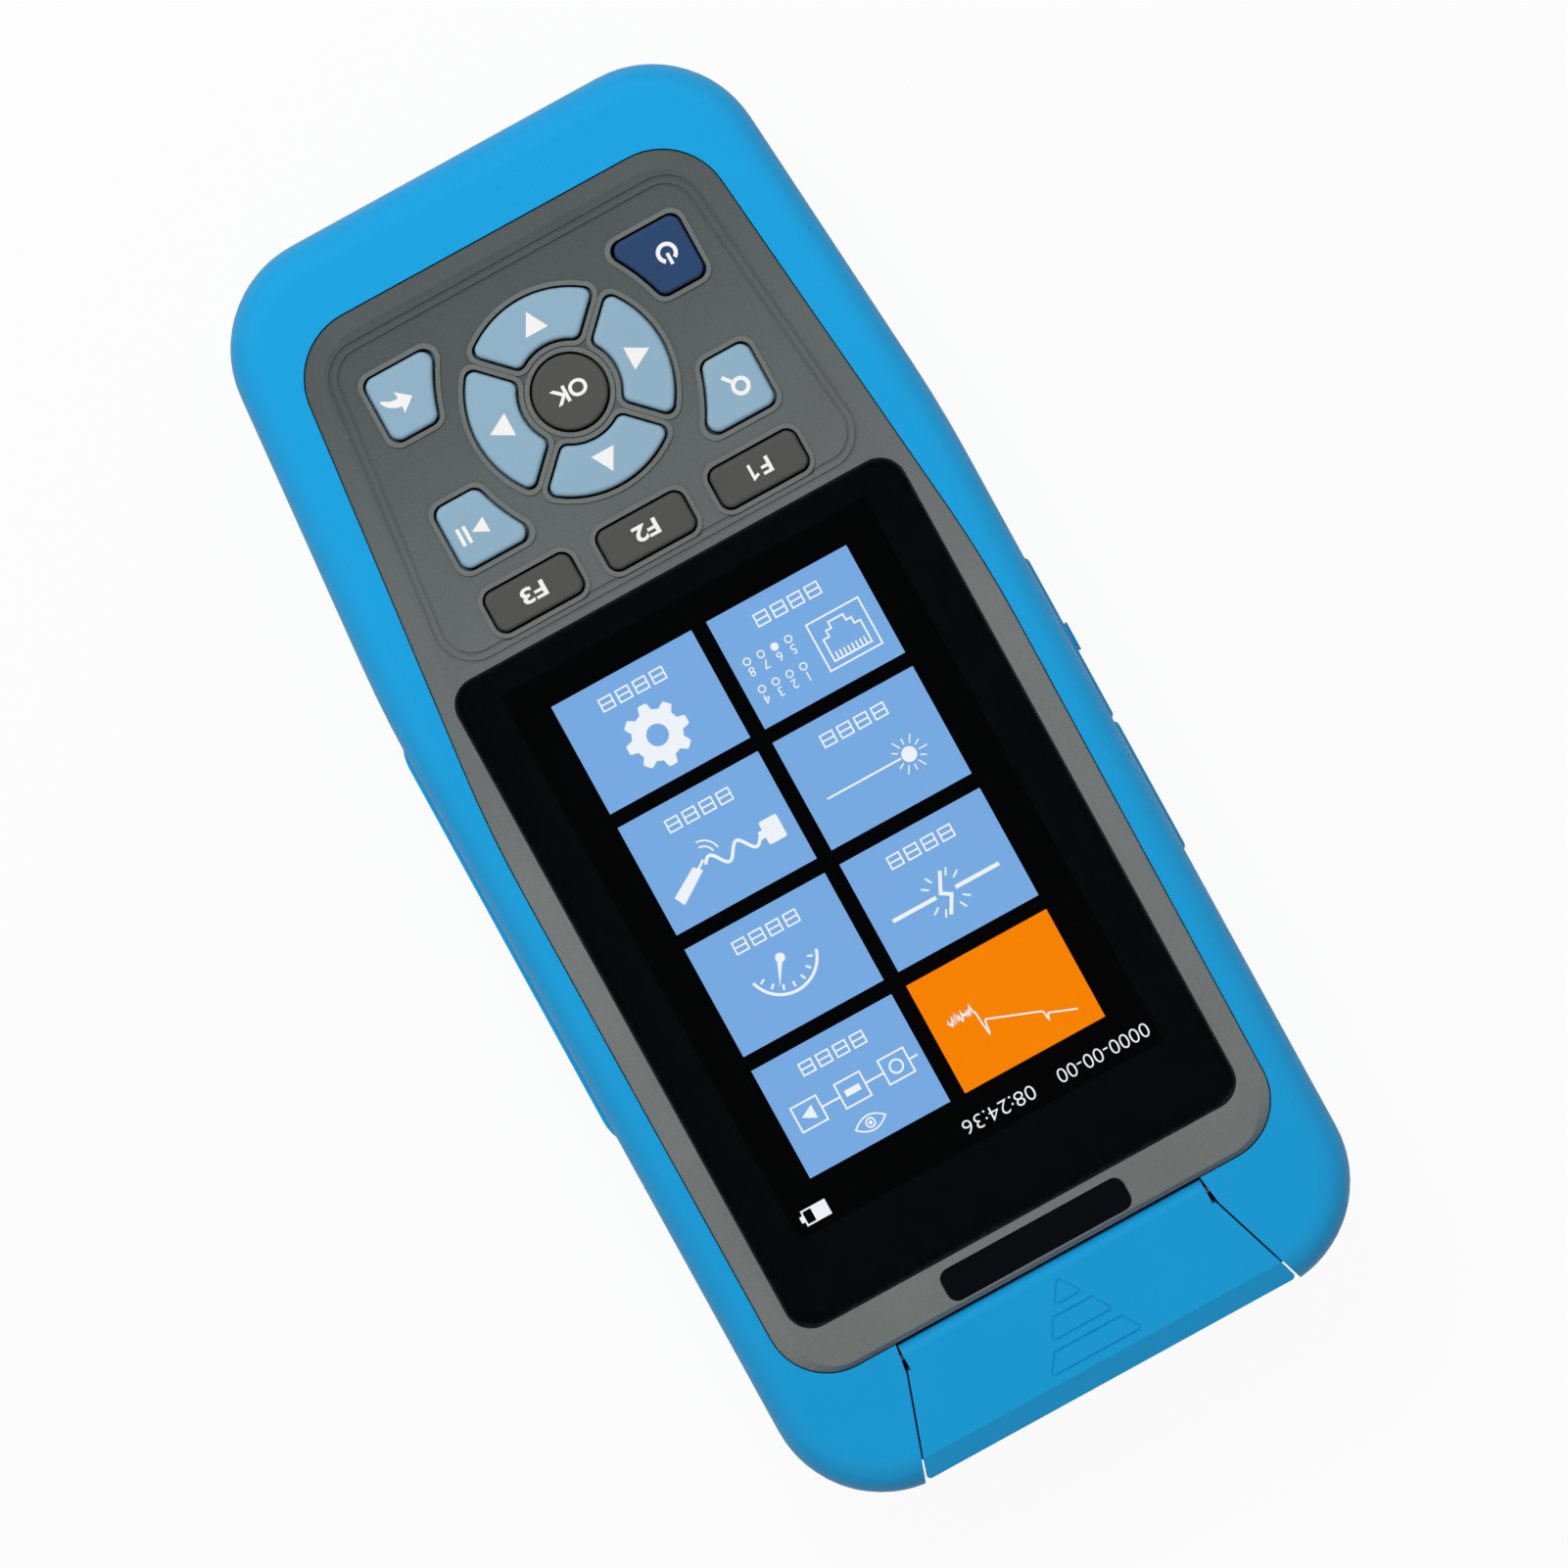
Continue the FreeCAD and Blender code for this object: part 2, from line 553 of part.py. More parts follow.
# The key caps. Each shape is drawn about the ring's centre, or about the key's own for the
# function keys, and can be grown on all sides: the flange, the well and the rim are the cap grown.
KEYS = {
    "key_up": ("ring", 0),
    "key_left": ("ring", 90),
    "key_down": ("ring", 180),
    "key_right": ("ring", 270),
    "key_ok": ("round", 0),
    "key_zoom": ("corner", (-1, 1)),
    "key_play": ("corner", (1, 1)),
    "key_power": ("corner", (-1, -1)),
    "key_back": ("corner", (1, -1)),
    "key_f1": ("function", -1),
    "key_f2": ("function", 0),
    "key_f3": ("function", 1),
}


def ring_key(body, name, grow, low, high):
    """A quarter of the ring, with its two ends parallel to the slots beside it."""
    round_bar(body, name, "0", "0", f"ring_outer + {grow}", low, high)
    round_bar(body, name + "_middle", "0", "0", f"ring_inner - ({grow})", low, high, cut=True)
    reach = "(2*ring_outer)"
    foot = f"((ring_slot - ({grow}))*{math.sqrt(2)})"
    below = [(f"-{reach}", f"-{reach}", "0"), (reach, f"-{reach}", "0"), (reach, f"{reach} + {foot}", "0"),
             ("0", foot, "0"), (f"-{reach}", f"{reach} + {foot}", "0")]
    prism(body, name + "_ends", below, low, high, cut=True)

    def end_edge(edge):
        box = edge.BoundBox
        return box.XLength < NEAR and box.YLength < NEAR and box.ZLength > NEAR
    round_edges(body, name + "_corners", f"ring_round + {grow}/2", end_edge)


def corner_key(body, name, grow, low, high, side):
    """A corner key: a rectangle whose inner side follows the ring in a shallow curve."""
    across, along = side
    near = f"corner_key_near_y - ({grow})"
    far = f"corner_key_far_y + ({grow})"
    outer = f"corner_key_outer_x + ({grow})"
    inner = "ring_inner"
    corners = [(f"{across}*({x})", f"{along}*({y})", "0")
               for x, y in ((outer, near), (outer, far), (inner, far), (inner, near))]
    prism(body, name, corners, low, high)
    round_bar(body, name + "_bend", f"{-across}*corner_key_bend_x", f"{-along}*corner_key_bend_y",
              f"corner_key_bend - ({grow})", low, high, cut=True)

    def side_edge(edge):
        box = edge.BoundBox
        return box.XLength < NEAR and box.YLength < NEAR and box.ZLength > NEAR
    round_edges(body, name + "_corners", f"corner_key_round + {grow}/2", side_edge)


def function_key(body, name, grow, low, high):
    half_x = f"function_key_width/2 + {grow}"
    half_y = f"function_key_length/2 + {grow}"
    prism(body, name, rectangle(f"-({half_x})", f"-({half_y})", half_x, half_y,
                                f"function_key_round + {grow}"), low, high)


def key_block(name, key, grow, low, high):
    """An upright block in the shape of one key, grown on all sides, at its place."""
    kind, turn = KEYS[key]
    body = new_body(name)
    if kind == "ring":
        ring_key(body, name + "_quarter", grow, low, high)
    elif kind == "round":
        round_bar(body, name + "_disc", "0", "0", f"round_key + {grow}", low, high)
    elif kind == "corner":
        corner_key(body, name + "_block", grow, low, high, turn)
    else:
        function_key(body, name + "_block", grow, low, high)
    return body


def place_key(body, key):
    """Move a key's block to where the key stands."""
    kind, turn = KEYS[key]
    angle = turn if kind == "ring" else 0
    body.Placement = FreeCAD.Placement(
        FreeCAD.Vector(0, 0, 0), FreeCAD.Rotation(FreeCAD.Vector(0, 0, 1), angle))
    if kind == "function":
        bind(body, "Placement.Base.x", f"{turn}*function_key_pitch")
        bind(body, "Placement.Base.y", "function_key_y")
    else:
        bind(body, "Placement.Base.y", "ring_centre_y")


PIECES = {}


def keep(piece, name=None):
    """Hand a finished piece over; its name is its file's name."""
    name = name or piece.Label
    piece.Label = name
    PIECES[name] = piece
    return piece


def make_keys():
    """Each key is a cap on a wider flange, which the front plate holds back."""
    for key in KEYS:
        cap = key_block(key + "_cap", key, "0", "flange_top", "key_top")
        round_edges(cap, key + "_edge", "key_edge", level_at(size("key_top")))
        place_key(cap, key)
        flange = key_block(key + "_foot", key, "key_flange", "key_bottom", "flange_top")
        place_key(flange, key)
        piece = document.addObject("Part::Fuse", key)
        piece.Base = cap
        piece.Tool = flange
        piece.Refine = True
        keep(piece, key)
    document.recompute()


def key_tools(prefix, grow, low, high):
    """One block for each key, such as the wells or the rims around them."""
    tools = []
    for key in KEYS:
        tool = key_block(prefix + key, key, grow, low, high)
        place_key(tool, key)
        tools.append(tool)
    return tools


CASE_SCREWS = [("case_screw_top_x", "case_screw_top_y"), ("-case_screw_top_x", "case_screw_top_y"),
               ("case_screw_foot_x", "case_screw_foot_y"), ("-case_screw_foot_x", "case_screw_foot_y")]
BOARD_SCREWS = [("board_post_x", "board_post_top_y"), ("-board_post_x", "board_post_top_y"),
                ("board_post_x", "board_post_foot_y"), ("-board_post_x", "board_post_foot_y")]
KEY_SCREWS = [("key_post_x", "ring_centre_y"), ("-key_post_x", "ring_centre_y"), ("0", "key_post_foot_y")]
COVER_SCREWS = [("cover_screw_x", "cover_screw_y"), ("-cover_screw_x", "cover_screw_y")]
GRIP_LINES = 5
PORTS = {"otdr": "-port_pitch", "fault_locator": "0", "power_meter": "port_pitch"}


def recess_outline(gap, back, reach):
    """The port recess seen from the front: its sides widen a little beside the hinge, then more."""
    inner = f"recess_inner_width/2 - ({gap})"
    knee = f"{inner} + recess_knee_wide"
    slope = "recess_end_wide/(half_length - face_top_y - recess_knee_deep)"
    outer = f"{knee} + {slope}*(({reach}) - recess_knee_y)"
    right = [(outer, reach, "0"), (knee, "recess_knee_y", "0")]
    back_half = f"{inner} + recess_knee_wide*(({back}) - face_top_y)/recess_knee_deep"
    right.append((back_half, back, "0"))
    return both_sides(right)


def port_recess():
    """What the port recess takes out of the bumper and both shells."""
    body = new_body("port_recess")
    prism(body, "recess", recess_outline("0", "face_top_y", "half_length + 5"), "recess_floor",
          "face_height + 5")
    return body


def panel_seat():
    """The seat of the port panel and the opening behind it."""
    body = new_body("panel_seat")
    half = "panel_half_width + panel_gap"
    prism(body, "seat", rectangle(f"-({half})", "panel_back_y", half, "face_top_y + 1"),
          "recess_floor - panel_gap", "panel_top + panel_gap")
    half = "panel_half_width - panel_ledge"
    prism(body, "opening", rectangle(f"-({half})", "cavity_top_y - 1", half, "face_top_y"),
          "recess_floor + panel_ledge", "panel_top - panel_ledge")
    return body


def side_openings():
    """The holes in the left-hand walls of the shells for the two side sockets."""
    body = new_body("side_openings")
    for name, centre, width, low, height in (
            ("lan", "lan_y", "lan_width", "lan_low", "lan_height"),
            ("usb", "usb_y", "usb_width", "usb_low", "usb_height")):
        grow = f"{width}/2 + window_cut_gap"
        prism(body, name, rectangle("-side_door_x - 2", f"{centre} - ({grow})", "-(board_lobe_x - 1)",
                                    f"{centre} + {grow}"),
              f"{low} - window_cut_gap", f"{low} + {height} + window_cut_gap")
    return body


def make_front_shell():
    """The front shell: a box open to the back, with the grey face standing on it."""
    low = "split_height + seam_gap/2"
    body = new_body("front_shell_block")
    prism(body, "hull", body_outline("shell_inset"), low, "shell_high")
    round_edges(body, "hull_edge", "shell_round", level_at(size("shell_high")))
    prism(body, "face", face_outline("0"), "shell_high - 1", "face_height - face_slope_deep")
    foot = new_sketch(body, "slope_foot", out="face_height - face_slope_deep")
    draw_polygon(foot, face_outline("0"))
    head = new_sketch(body, "slope_head", out="face_height")
    draw_polygon(head, face_outline("-face_slope_wide", "-face_slope_top"))
    slope = body.newObject("PartDesign::AdditiveLoft", "face_slope")
    slope.Profile = foot
    slope.Sections = [head]
    slope.Ruled = True
    document.recompute()
    prism(body, "hollow", cavity_outline("cavity_inset"), low, "plate_underside", cut=True)
    for number, (x, y) in enumerate(CASE_SCREWS):
        round_bar(body, f"case_boss{number}", x, y, "case_boss", low, "plate_underside + 0.5")
        round_bar(body, f"case_hole{number}", x, y, "screw_shank + screw_hole_gap", low,
                  "plate_underside - 2", cut=True)
    for number, (x, y) in enumerate(KEY_SCREWS):
        round_bar(body, f"key_post{number}", x, y, "key_post", "key_board_top + seam_gap",
                  "plate_underside + 0.5")
        round_bar(body, f"key_hole{number}", x, y, "small_shank + screw_hole_gap",
                  "key_board_top + seam_gap", "plate_underside", cut=True)
    half = "window_width/2 + window_gap"
    prism(body, "window_seat", rectangle(f"-({half})", "window_foot_y - window_gap", half,
                                         "window_top_y + window_gap", "window_corner + window_gap"),
          "window_floor - seat_gap/2", "face_height", cut=True)
    half = "lcd_picture_width/2 + 1.2"
    prism(body, "picture_opening", rectangle(
        f"-({half})", "lcd_centre_y - lcd_picture_length/2 - 1.2", half,
        "lcd_centre_y + lcd_picture_length/2 + 1.2", "1"), "plate_underside", "window_floor", cut=True)
    half = "plate_width/2 + window_gap"
    prism(body, "plate_seat", rectangle(
        f"-({half})", "plate_low_y - window_gap", half, "plate_high_y + window_gap",
        "plate_corner + window_gap"), "face_height - plate_thick - seam_gap/2", "face_height", cut=True)
    for name, inner_side in (("outer_groove", "0"), ("inner_groove", "-field_step")):
        field = new_sketch(body, name + "_lines", out="face_height")
        draw_polygon(field, field_outline(inner_side))
        draw_polygon(field, field_outline(f"{inner_side} + field_groove"))
        pocket(body, name, field, "field_depth")
    rims = key_tools("rim_of_", "key_gap + key_rim", "plate_underside + 1", "face_height + key_rim_height")
    raised = tool_union("face_with_rims", [body] + rims)
    wells = key_tools("well_of_", "key_gap", "plate_underside - 1", "face_height + 2")
    return raised, wells


def field_outline(grow):
    """The keypad field, moved outwards: its sides taper with the grey face."""
    return both_sides([
        (f"field_top_width/2 + {grow}", f"field_top_y + {grow}", f"field_corner + {grow}"),
        (f"field_foot_width/2 + {grow}", f"field_foot_y - ({grow})", f"field_corner + {grow}"),
    ])


def pin_holes(name, radius):
    """The blind holes at both sides of the recess that hold the flap's hinge pin."""
    reach = "recess_inner_width/2 + hinge_grip + 0.3"
    return bar_along_x(name, radius, "hinge_y", "hinge_z", f"-({reach})", reach)


def bar_along_x(name, radius, y, z, low, high):
    """A cylinder along X between two places."""
    bar = document.addObject("Part::Cylinder", name)
    bind(bar, "Radius", radius)
    bind(bar, "Height", f"({high}) - ({low})")
    bar.Placement = FreeCAD.Placement(
        FreeCAD.Vector(0, 0, 0), FreeCAD.Rotation(FreeCAD.Vector(0, 1, 0), 90))
    bind(bar, "Placement.Base.x", low)
    bind(bar, "Placement.Base.y", y)
    bind(bar, "Placement.Base.z", z)
    document.recompute()
    return bar


def upright_bar(name, radius, x, y, low, high):
    """An upright cylinder between two heights."""
    bar = document.addObject("Part::Cylinder", name)
    bind(bar, "Radius", radius)
    bind(bar, "Height", f"({high}) - ({low})")
    bind(bar, "Placement.Base.x", x)
    bind(bar, "Placement.Base.y", y)
    bind(bar, "Placement.Base.z", low)
    document.recompute()
    return bar


def block(name, x_low, x_high, y_low, y_high, z_low, z_high):
    """A rectangular block between six faces."""
    box = document.addObject("Part::Box", name)
    for field, low, high in (("Length", x_low, x_high), ("Width", y_low, y_high), ("Height", z_low, z_high)):
        bind(box, field, f"({high}) - ({low})")
    for axis, low in (("x", x_low), ("y", y_low), ("z", z_low)):
        bind(box, "Placement.Base." + axis, low)
    document.recompute()
    return box


def group(name, members):
    """Several separate solids of one kind, kept as one piece."""
    compound = document.addObject("Part::Compound", name)
    compound.Links = members
    document.recompute()
    return keep(compound, name)


def make_rear_shell():
    """The rear shell: a box open to the front, with the battery bay and the posts in it."""
    high = "split_height - seam_gap/2"
    body = new_body("rear_shell_block")
    prism(body, "hull", body_outline("shell_inset"), "shell_low", high)
    round_edges(body, "hull_edge", "shell_round", level_at(size("shell_low")))
    prism(body, "hollow", cavity_outline("cavity_inset"), "shell_low + shell_wall", high, cut=True)
    half = "bay_width/2 + bay_wall"
    prism(body, "bay", rectangle(f"-({half})", "bay_foot_y - bay_wall", half, "bay_top_y + bay_wall"),
          "shell_low + shell_wall - 0.5", "bay_roof")
    half = "bay_width/2 + cover_ledge"
    prism(body, "cover_frame", rectangle(f"-({half} + bay_wall)", "bay_foot_y - cover_ledge - bay_wall",
                                         f"{half} + bay_wall", "cover_screw_y + small_head + 2.4"),
          "shell_low + shell_wall - 0.5", "cover_top + bay_wall + 1")
    for number, (x, y) in enumerate(CASE_SCREWS):
        round_bar(body, f"case_boss{number}", x, y, "case_boss", "shell_low + 1", high)
        round_bar(body, f"case_head{number}", x, y, "screw_head + screw_hole_gap", "shell_low - 1",
                  "shell_low + 3.5 + screw_head_thick", cut=True)
        round_bar(body, f"case_hole{number}", x, y, "screw_shank + screw_hole_gap", "shell_low",
                  f"{high} + 1", cut=True)
    for number, (x, y) in enumerate(BOARD_SCREWS):
        low = "shell_low + shell_wall - 0.5" if "top" in y else "bay_roof - 0.5"
        round_bar(body, f"board_post{number}", x, y, "board_post", low, "board_bottom")
        round_bar(body, f"board_hole{number}", x, y, "small_shank + screw_hole_gap", "bay_roof - 0.5",
                  "board_bottom", cut=True)
    prism(body, "bay_hollow", rectangle("-bay_width/2", "bay_foot_y", "bay_width/2", "bay_top_y", "2"),
          "shell_low - 1", "bay_height", cut=True)
    prism(body, "cover_seat", cover_outline("cover_gap"), "shell_low - 1", "cover_top + seam_gap/2", cut=True)
    for number, (x, y) in enumerate(COVER_SCREWS):
        round_bar(body, f"cover_hole{number}", x, y, "small_shank + screw_hole_gap", "cover_top - 0.5",
                  "cover_top + bay_wall + 0.5", cut=True)
    return body


def cover_outline(grow):
    """The battery cover's outline, grown on all sides."""
    half = f"bay_width/2 + cover_ledge - cover_gap + {grow}"
    return rectangle(f"-({half})", f"bay_foot_y - cover_ledge + cover_gap - {grow}", half,
                     f"cover_screw_y + small_head + 1.2 + {grow}", f"cover_corner + {grow}")


def make_battery_cover():
    body = new_body("battery_cover")
    prism(body, "plate", cover_outline("0"), "cover_bottom", "cover_top")
    for number, (x, y) in enumerate(COVER_SCREWS):
        round_bar(body, f"head_seat{number}", x, y, "small_head + screw_hole_gap", "cover_bottom - 0.5",
                  "cover_bottom + small_head_thick", cut=True)
        round_bar(body, f"hole{number}", x, y, "small_shank + screw_hole_gap", "cover_bottom",
                  "cover_top + 0.5", cut=True)
    for number in range(GRIP_LINES):
        middle = f"grip_line_y - {number}*grip_line_pitch"
        prism(body, f"grip_line{number}", rectangle(
            "-grip_line_reach", f"{middle} - grip_line_width/2", "grip_line_reach",
            f"{middle} + grip_line_width/2"), "cover_bottom - 0.5", "cover_bottom + grip_line_depth", cut=True)
    keep(body)


def hinge_lugs(prefix, grow):
    """The two lugs that rise from the front shell beside the flap and hold its pin."""
    lugs = []
    for number, side in enumerate((-1, 1)):
        near = "recess_inner_width/2 - 0.5"
        far = f"recess_inner_width/2 + hinge_grip + 1.2 + {grow}"
        low, high = (near, far) if side > 0 else (f"-({far})", f"-({near})")
        lugs.append(block(f"{prefix}{number}", low, high, f"face_top_y - 1.5 - {grow}",
                          f"recess_knee_y + {grow}", "shell_high - 1", f"hinge_z + hinge_pin + hinge_lug + {grow}"))
    return lugs


def make_shells():
    raised, wells = make_front_shell()
    raised = tool_union("face_with_lugs", [raised] + hinge_lugs("hinge_lug", "0"))
    rear = make_rear_shell()
    recess = port_recess()
    seat = panel_seat()
    sockets = side_openings()
    pins = pin_holes("pin_holes", "hinge_pin")
    front_tools = tool_union("front_cuts", wells + [recess, seat, sockets, pins])
    keep(cut_from("front_shell", raised, front_tools))
    rear_tools = tool_union("rear_cuts", [recess, seat, sockets])
    keep(cut_from("rear_shell", rear, rear_tools))
    return recess


def side_door_outline(grow, x_high):
    """The two side covers seen from the front, as one opening."""
    return rectangle(f"-(side_door_x + 3)", f"side_door_foot_y - ({grow})", x_high,
                     f"side_door_top_y + ({grow})")


def make_bumper(recess):
    """The rubber bumper: a block with rolled edges, hollowed by the shells, open front and back."""
    body = new_body("bumper_block")
    prism(body, "block", body_outline("0"), "0", "bumper_height")
    round_edges(body, "front_roll", "bumper_front_round", level_at(size("bumper_height")))
    round_edges(body, "back_roll", "bumper_back_round", level_at(0))
    grip = [("waist_width/2 + grip_proud", "grip_high_y", "6"),
            ("waist_width/2 + grip_proud", "grip_low_y", "6"),
            ("waist_width/2 - 2", "grip_low_y - 1.5", "0"), ("waist_width/2 - 2", "grip_high_y + 1.5", "0")]
    prism(body, "grip", grip, "bumper_back_round + 1", "bumper_height - bumper_front_round - 1")
    hollow = new_body("bumper_hollow")
    prism(hollow, "hollow", body_outline("bumper_wall"), "bumper_back_lip", "bumper_height - bumper_front_lip")
    round_edges(hollow, "hollow_edge", "shell_round",
                lambda edge: level_at(size("bumper_back_lip"))(edge)
                or level_at(size("bumper_height - bumper_front_lip"))(edge))
    front = new_body("bumper_front_opening")
    prism(front, "front_opening", face_outline("face_gap"), "bumper_height - bumper_front_lip - 1",
          "bumper_height + 1")
    back = new_body("bumper_back_opening")
    prism(back, "back_opening", body_outline("bumper_back_rim"), "-1", "bumper_back_lip + 1")
    doors = new_body("bumper_side_opening")
    prism(doors, "door_opening", side_door_outline("side_door_gap", "-(socket_face_x - 5)"),
          "side_door_low - side_door_gap", "side_door_high + side_door_gap")
    for number, tool in enumerate([back, front, hollow, doors, recess] + hinge_lugs("lug_room", "skin_gap")):
        body = cut_from(f"bumper_cut{number}", body, tool, refined=False)
    keep(body, "bumper")


def make_window():
    body = new_body("display_window")
    prism(body, "glass", rectangle("-window_width/2", "window_foot_y", "window_width/2", "window_top_y",
                                   "window_corner"), "window_floor", "window_top")
    round_edges(body, "bevel", "window_chamfer", level_at(size("window_top")), "Chamfer")
    keep(body)


def make_name_plate():
    body = new_body("name_plate")
    prism(body, "plate", rectangle("-plate_width/2", "plate_low_y", "plate_width/2", "plate_high_y",
                                   "plate_corner"), "face_height - plate_thick", "face_height")
    keep(body)


def make_lcd():
    """The display module: a thin frame with the panel standing a little out of it."""
    body = new_body("lcd_module")
    prism(body, "frame", rectangle("-lcd_module_width/2", "lcd_low_y", "lcd_module_width/2", "lcd_high_y", "0.6"),
          "lcd_top - lcd_module_thick", "lcd_top")
    half = "lcd_picture_width/2 + 0.6"
    prism(body, "panel", rectangle(f"-({half})", "lcd_centre_y - lcd_picture_length/2 - 0.6", half,
                                   "lcd_centre_y + lcd_picture_length/2 + 0.6"),
          "lcd_top - 0.5", "window_floor - seat_gap")
    keep(body)


def make_keypad_layers():
    """The silicone mat under the keys and the circuit board under the mat."""
    for name, low, high, gap in (("keypad_mat", "key_board_top", "mat_top", "post_gap"),
                                 ("key_board", "key_board_bottom", "key_board_top", "-1")):
        body = new_body(name)
        prism(body, "sheet", rectangle("-mat_width/2", "mat_foot_y", "mat_width/2", "mat_top_y", "3"), low, high)
        for number, (x, y) in enumerate(KEY_SCREWS):
            radius = f"key_post + {gap}" if name == "keypad_mat" else "small_shank + screw_hole_gap"
            round_bar(body, f"hole{number}", x, y, radius, f"{low} - 1", f"{high} + 1", cut=True)
        keep(body)


# The larger chips on the main board: middle across, middle along, and half of the side
CHIPS = [("-8", "20", "7"), ("12", "24", "5"), ("6", "42", "4"), ("-10", "-6", "4.5")]


def make_main_board():
    """The main board, with a lobe that carries the side sockets and the larger chips on top."""
    body = new_body("main_board")
    half = "board_width/2"
    outline = [(half, "board_top_y", "2"), (half, "board_foot_y", "2"), (f"-({half})", "board_foot_y", "2"),
               (f"-({half})", "usb_y - usb_width/2 - 2", "0"), ("-board_lobe_x", "usb_y - usb_width/2 - 2", "2"),
               ("-board_lobe_x", "lan_y + lan_width/2 + 2", "2"), (f"-({half})", "lan_y + lan_width/2 + 2", "0"),
               (f"-({half})", "board_top_y", "2")]
    prism(body, "board", outline, "board_bottom", "board_top")
    for number, (x, y, half) in enumerate(CHIPS):
        prism(body, f"chip{number}", rectangle(f"{x} - {half}", f"{y} - {half}", f"{x} + {half}",
                                               f"{y} + {half}"), "board_top - 0.2", "board_top + chip_thick")
    for number, (x, y) in enumerate(BOARD_SCREWS):
        round_bar(body, f"hole{number}", x, y, "small_shank + screw_hole_gap", "board_bottom - 1",
                  "board_top + 1", cut=True)
    keep(body)


def screw(name, x, y, head_low, head_high, shank_low, shank_high, head, shank):
    """A screw as one solid: a round head with a hexagon socket, and its shank."""
    head_bar = upright_bar(name + "_head", head, x, y, head_low, head_high)
    shank_bar = upright_bar(name + "_shank", shank, x, y, shank_low, shank_high)
    socket = document.addObject("Part::Prism", name + "_socket")
    socket.Polygon = 6
    bind(socket, "Circumradius", f"{head}*0.5")
    bind(socket, "Height", f"(({head_high}) - ({head_low}))*0.6")
    bind(socket, "Placement.Base.x", x)
    bind(socket, "Placement.Base.y", y)
    faces_down = size(head_low) < size(shank_low)
    bind(socket, "Placement.Base.z", head_low if faces_down else
         f"({head_low}) + (({head_high}) - ({head_low}))*0.4")
    whole = document.addObject("Part::Fuse", name + "_solid")
    whole.Base = head_bar
    whole.Tool = shank_bar
    document.recompute()
    return cut_from(name, whole, socket)


def make_screws():
    head_top = "shell_low + 3.5 + screw_head_thick"
    group("case_screws", [
        screw(f"case_screw{number}", x, y, "shell_low + 3.5", head_top, "shell_low + 4", "plate_underside - 4",
              "screw_head", "screw_shank") for number, (x, y) in enumerate(CASE_SCREWS)])
    group("main_board_screws", [
        screw(f"board_screw{number}", x, y, "board_top", "board_top + small_head_thick", "bay_roof + 0.2",
              "board_top + 0.3", "small_head", "small_shank") for number, (x, y) in enumerate(BOARD_SCREWS)])
    group("key_board_screws", [
        screw(f"key_screw{number}", x, y, "key_board_bottom - small_head_thick", "key_board_bottom",
              "key_board_bottom - 0.3", "plate_underside - 0.6", "small_head", "small_shank")
        for number, (x, y) in enumerate(KEY_SCREWS)])
    group("battery_cover_screws", [
        screw(f"cover_screw{number}", x, y, "cover_bottom", "cover_bottom + small_head_thick",
              "cover_bottom + 0.3", "cover_top + bay_wall + 0.3", "small_head", "small_shank")
        for number, (x, y) in enumerate(COVER_SCREWS)])


def make_port_panel():
    """The dark panel at the back of the port recess."""
    body = new_body("port_panel")
    half = "panel_half_width"
    prism(body, "plate", rectangle(f"-({half})", "panel_back_y + panel_gap/2", half, "face_top_y"),
          "recess_floor", "panel_top")
    sketch = new_sketch(body, "port_holes", "XZ_Plane", out="-face_top_y - 1")
    for port, x in PORTS.items():
        draw_circle(sketch, x, "port_height", "adapter_tail + screw_hole_gap")
    pocket(body, "port_holes_cut", sketch, "panel_thick + 2", turned=True)
    keep(body)


def turned_part(name, x, points):
    """A part turned about a fibre port's centre line; its outline gives Y and radius."""
    body = new_body(name)
    sketch = new_sketch(body, "outline", "YZ_Plane", across="port_height", out=x)
    draw_polygon(sketch, points)
    feature = body.newObject("PartDesign::Revolution", "turned")
    feature.Profile = sketch
    feature.ReferenceAxis = (sketch, ["H_Axis"])
    feature.Angle = 360
    document.recompute()
    keep(body)
    return body


def adapter_outline(barrel, length, cavity):
    """Half the section of a fibre adapter: tail, flange, barrel, and the sleeve inside the barrel."""
    face = "face_top_y"
    sleeve = "ferrule_bore + sleeve_wall"
    mouth = f"{face} + {length}"
    floor = f"{face} + adapter_flange_thick + 0.8"
    outline = [(f"{face} - adapter_tail_length", "ferrule_bore"), (f"{face} - adapter_tail_length", "adapter_tail"),
               (face, "adapter_tail"), (face, "adapter_flange"), (f"{face} + adapter_flange_thick", "adapter_flange"),
               (f"{face} + adapter_flange_thick", barrel), (mouth, barrel)]
    if cavity:
        outline += [(mouth, f"{barrel} - barrel_wall"), (floor, f"{barrel} - barrel_wall"), (floor, sleeve),
                    (f"{mouth} - 0.8", sleeve), (f"{mouth} - 0.8", "ferrule_bore")]
    else:
        outline += [(mouth, "ferrule_bore")]
    return outline


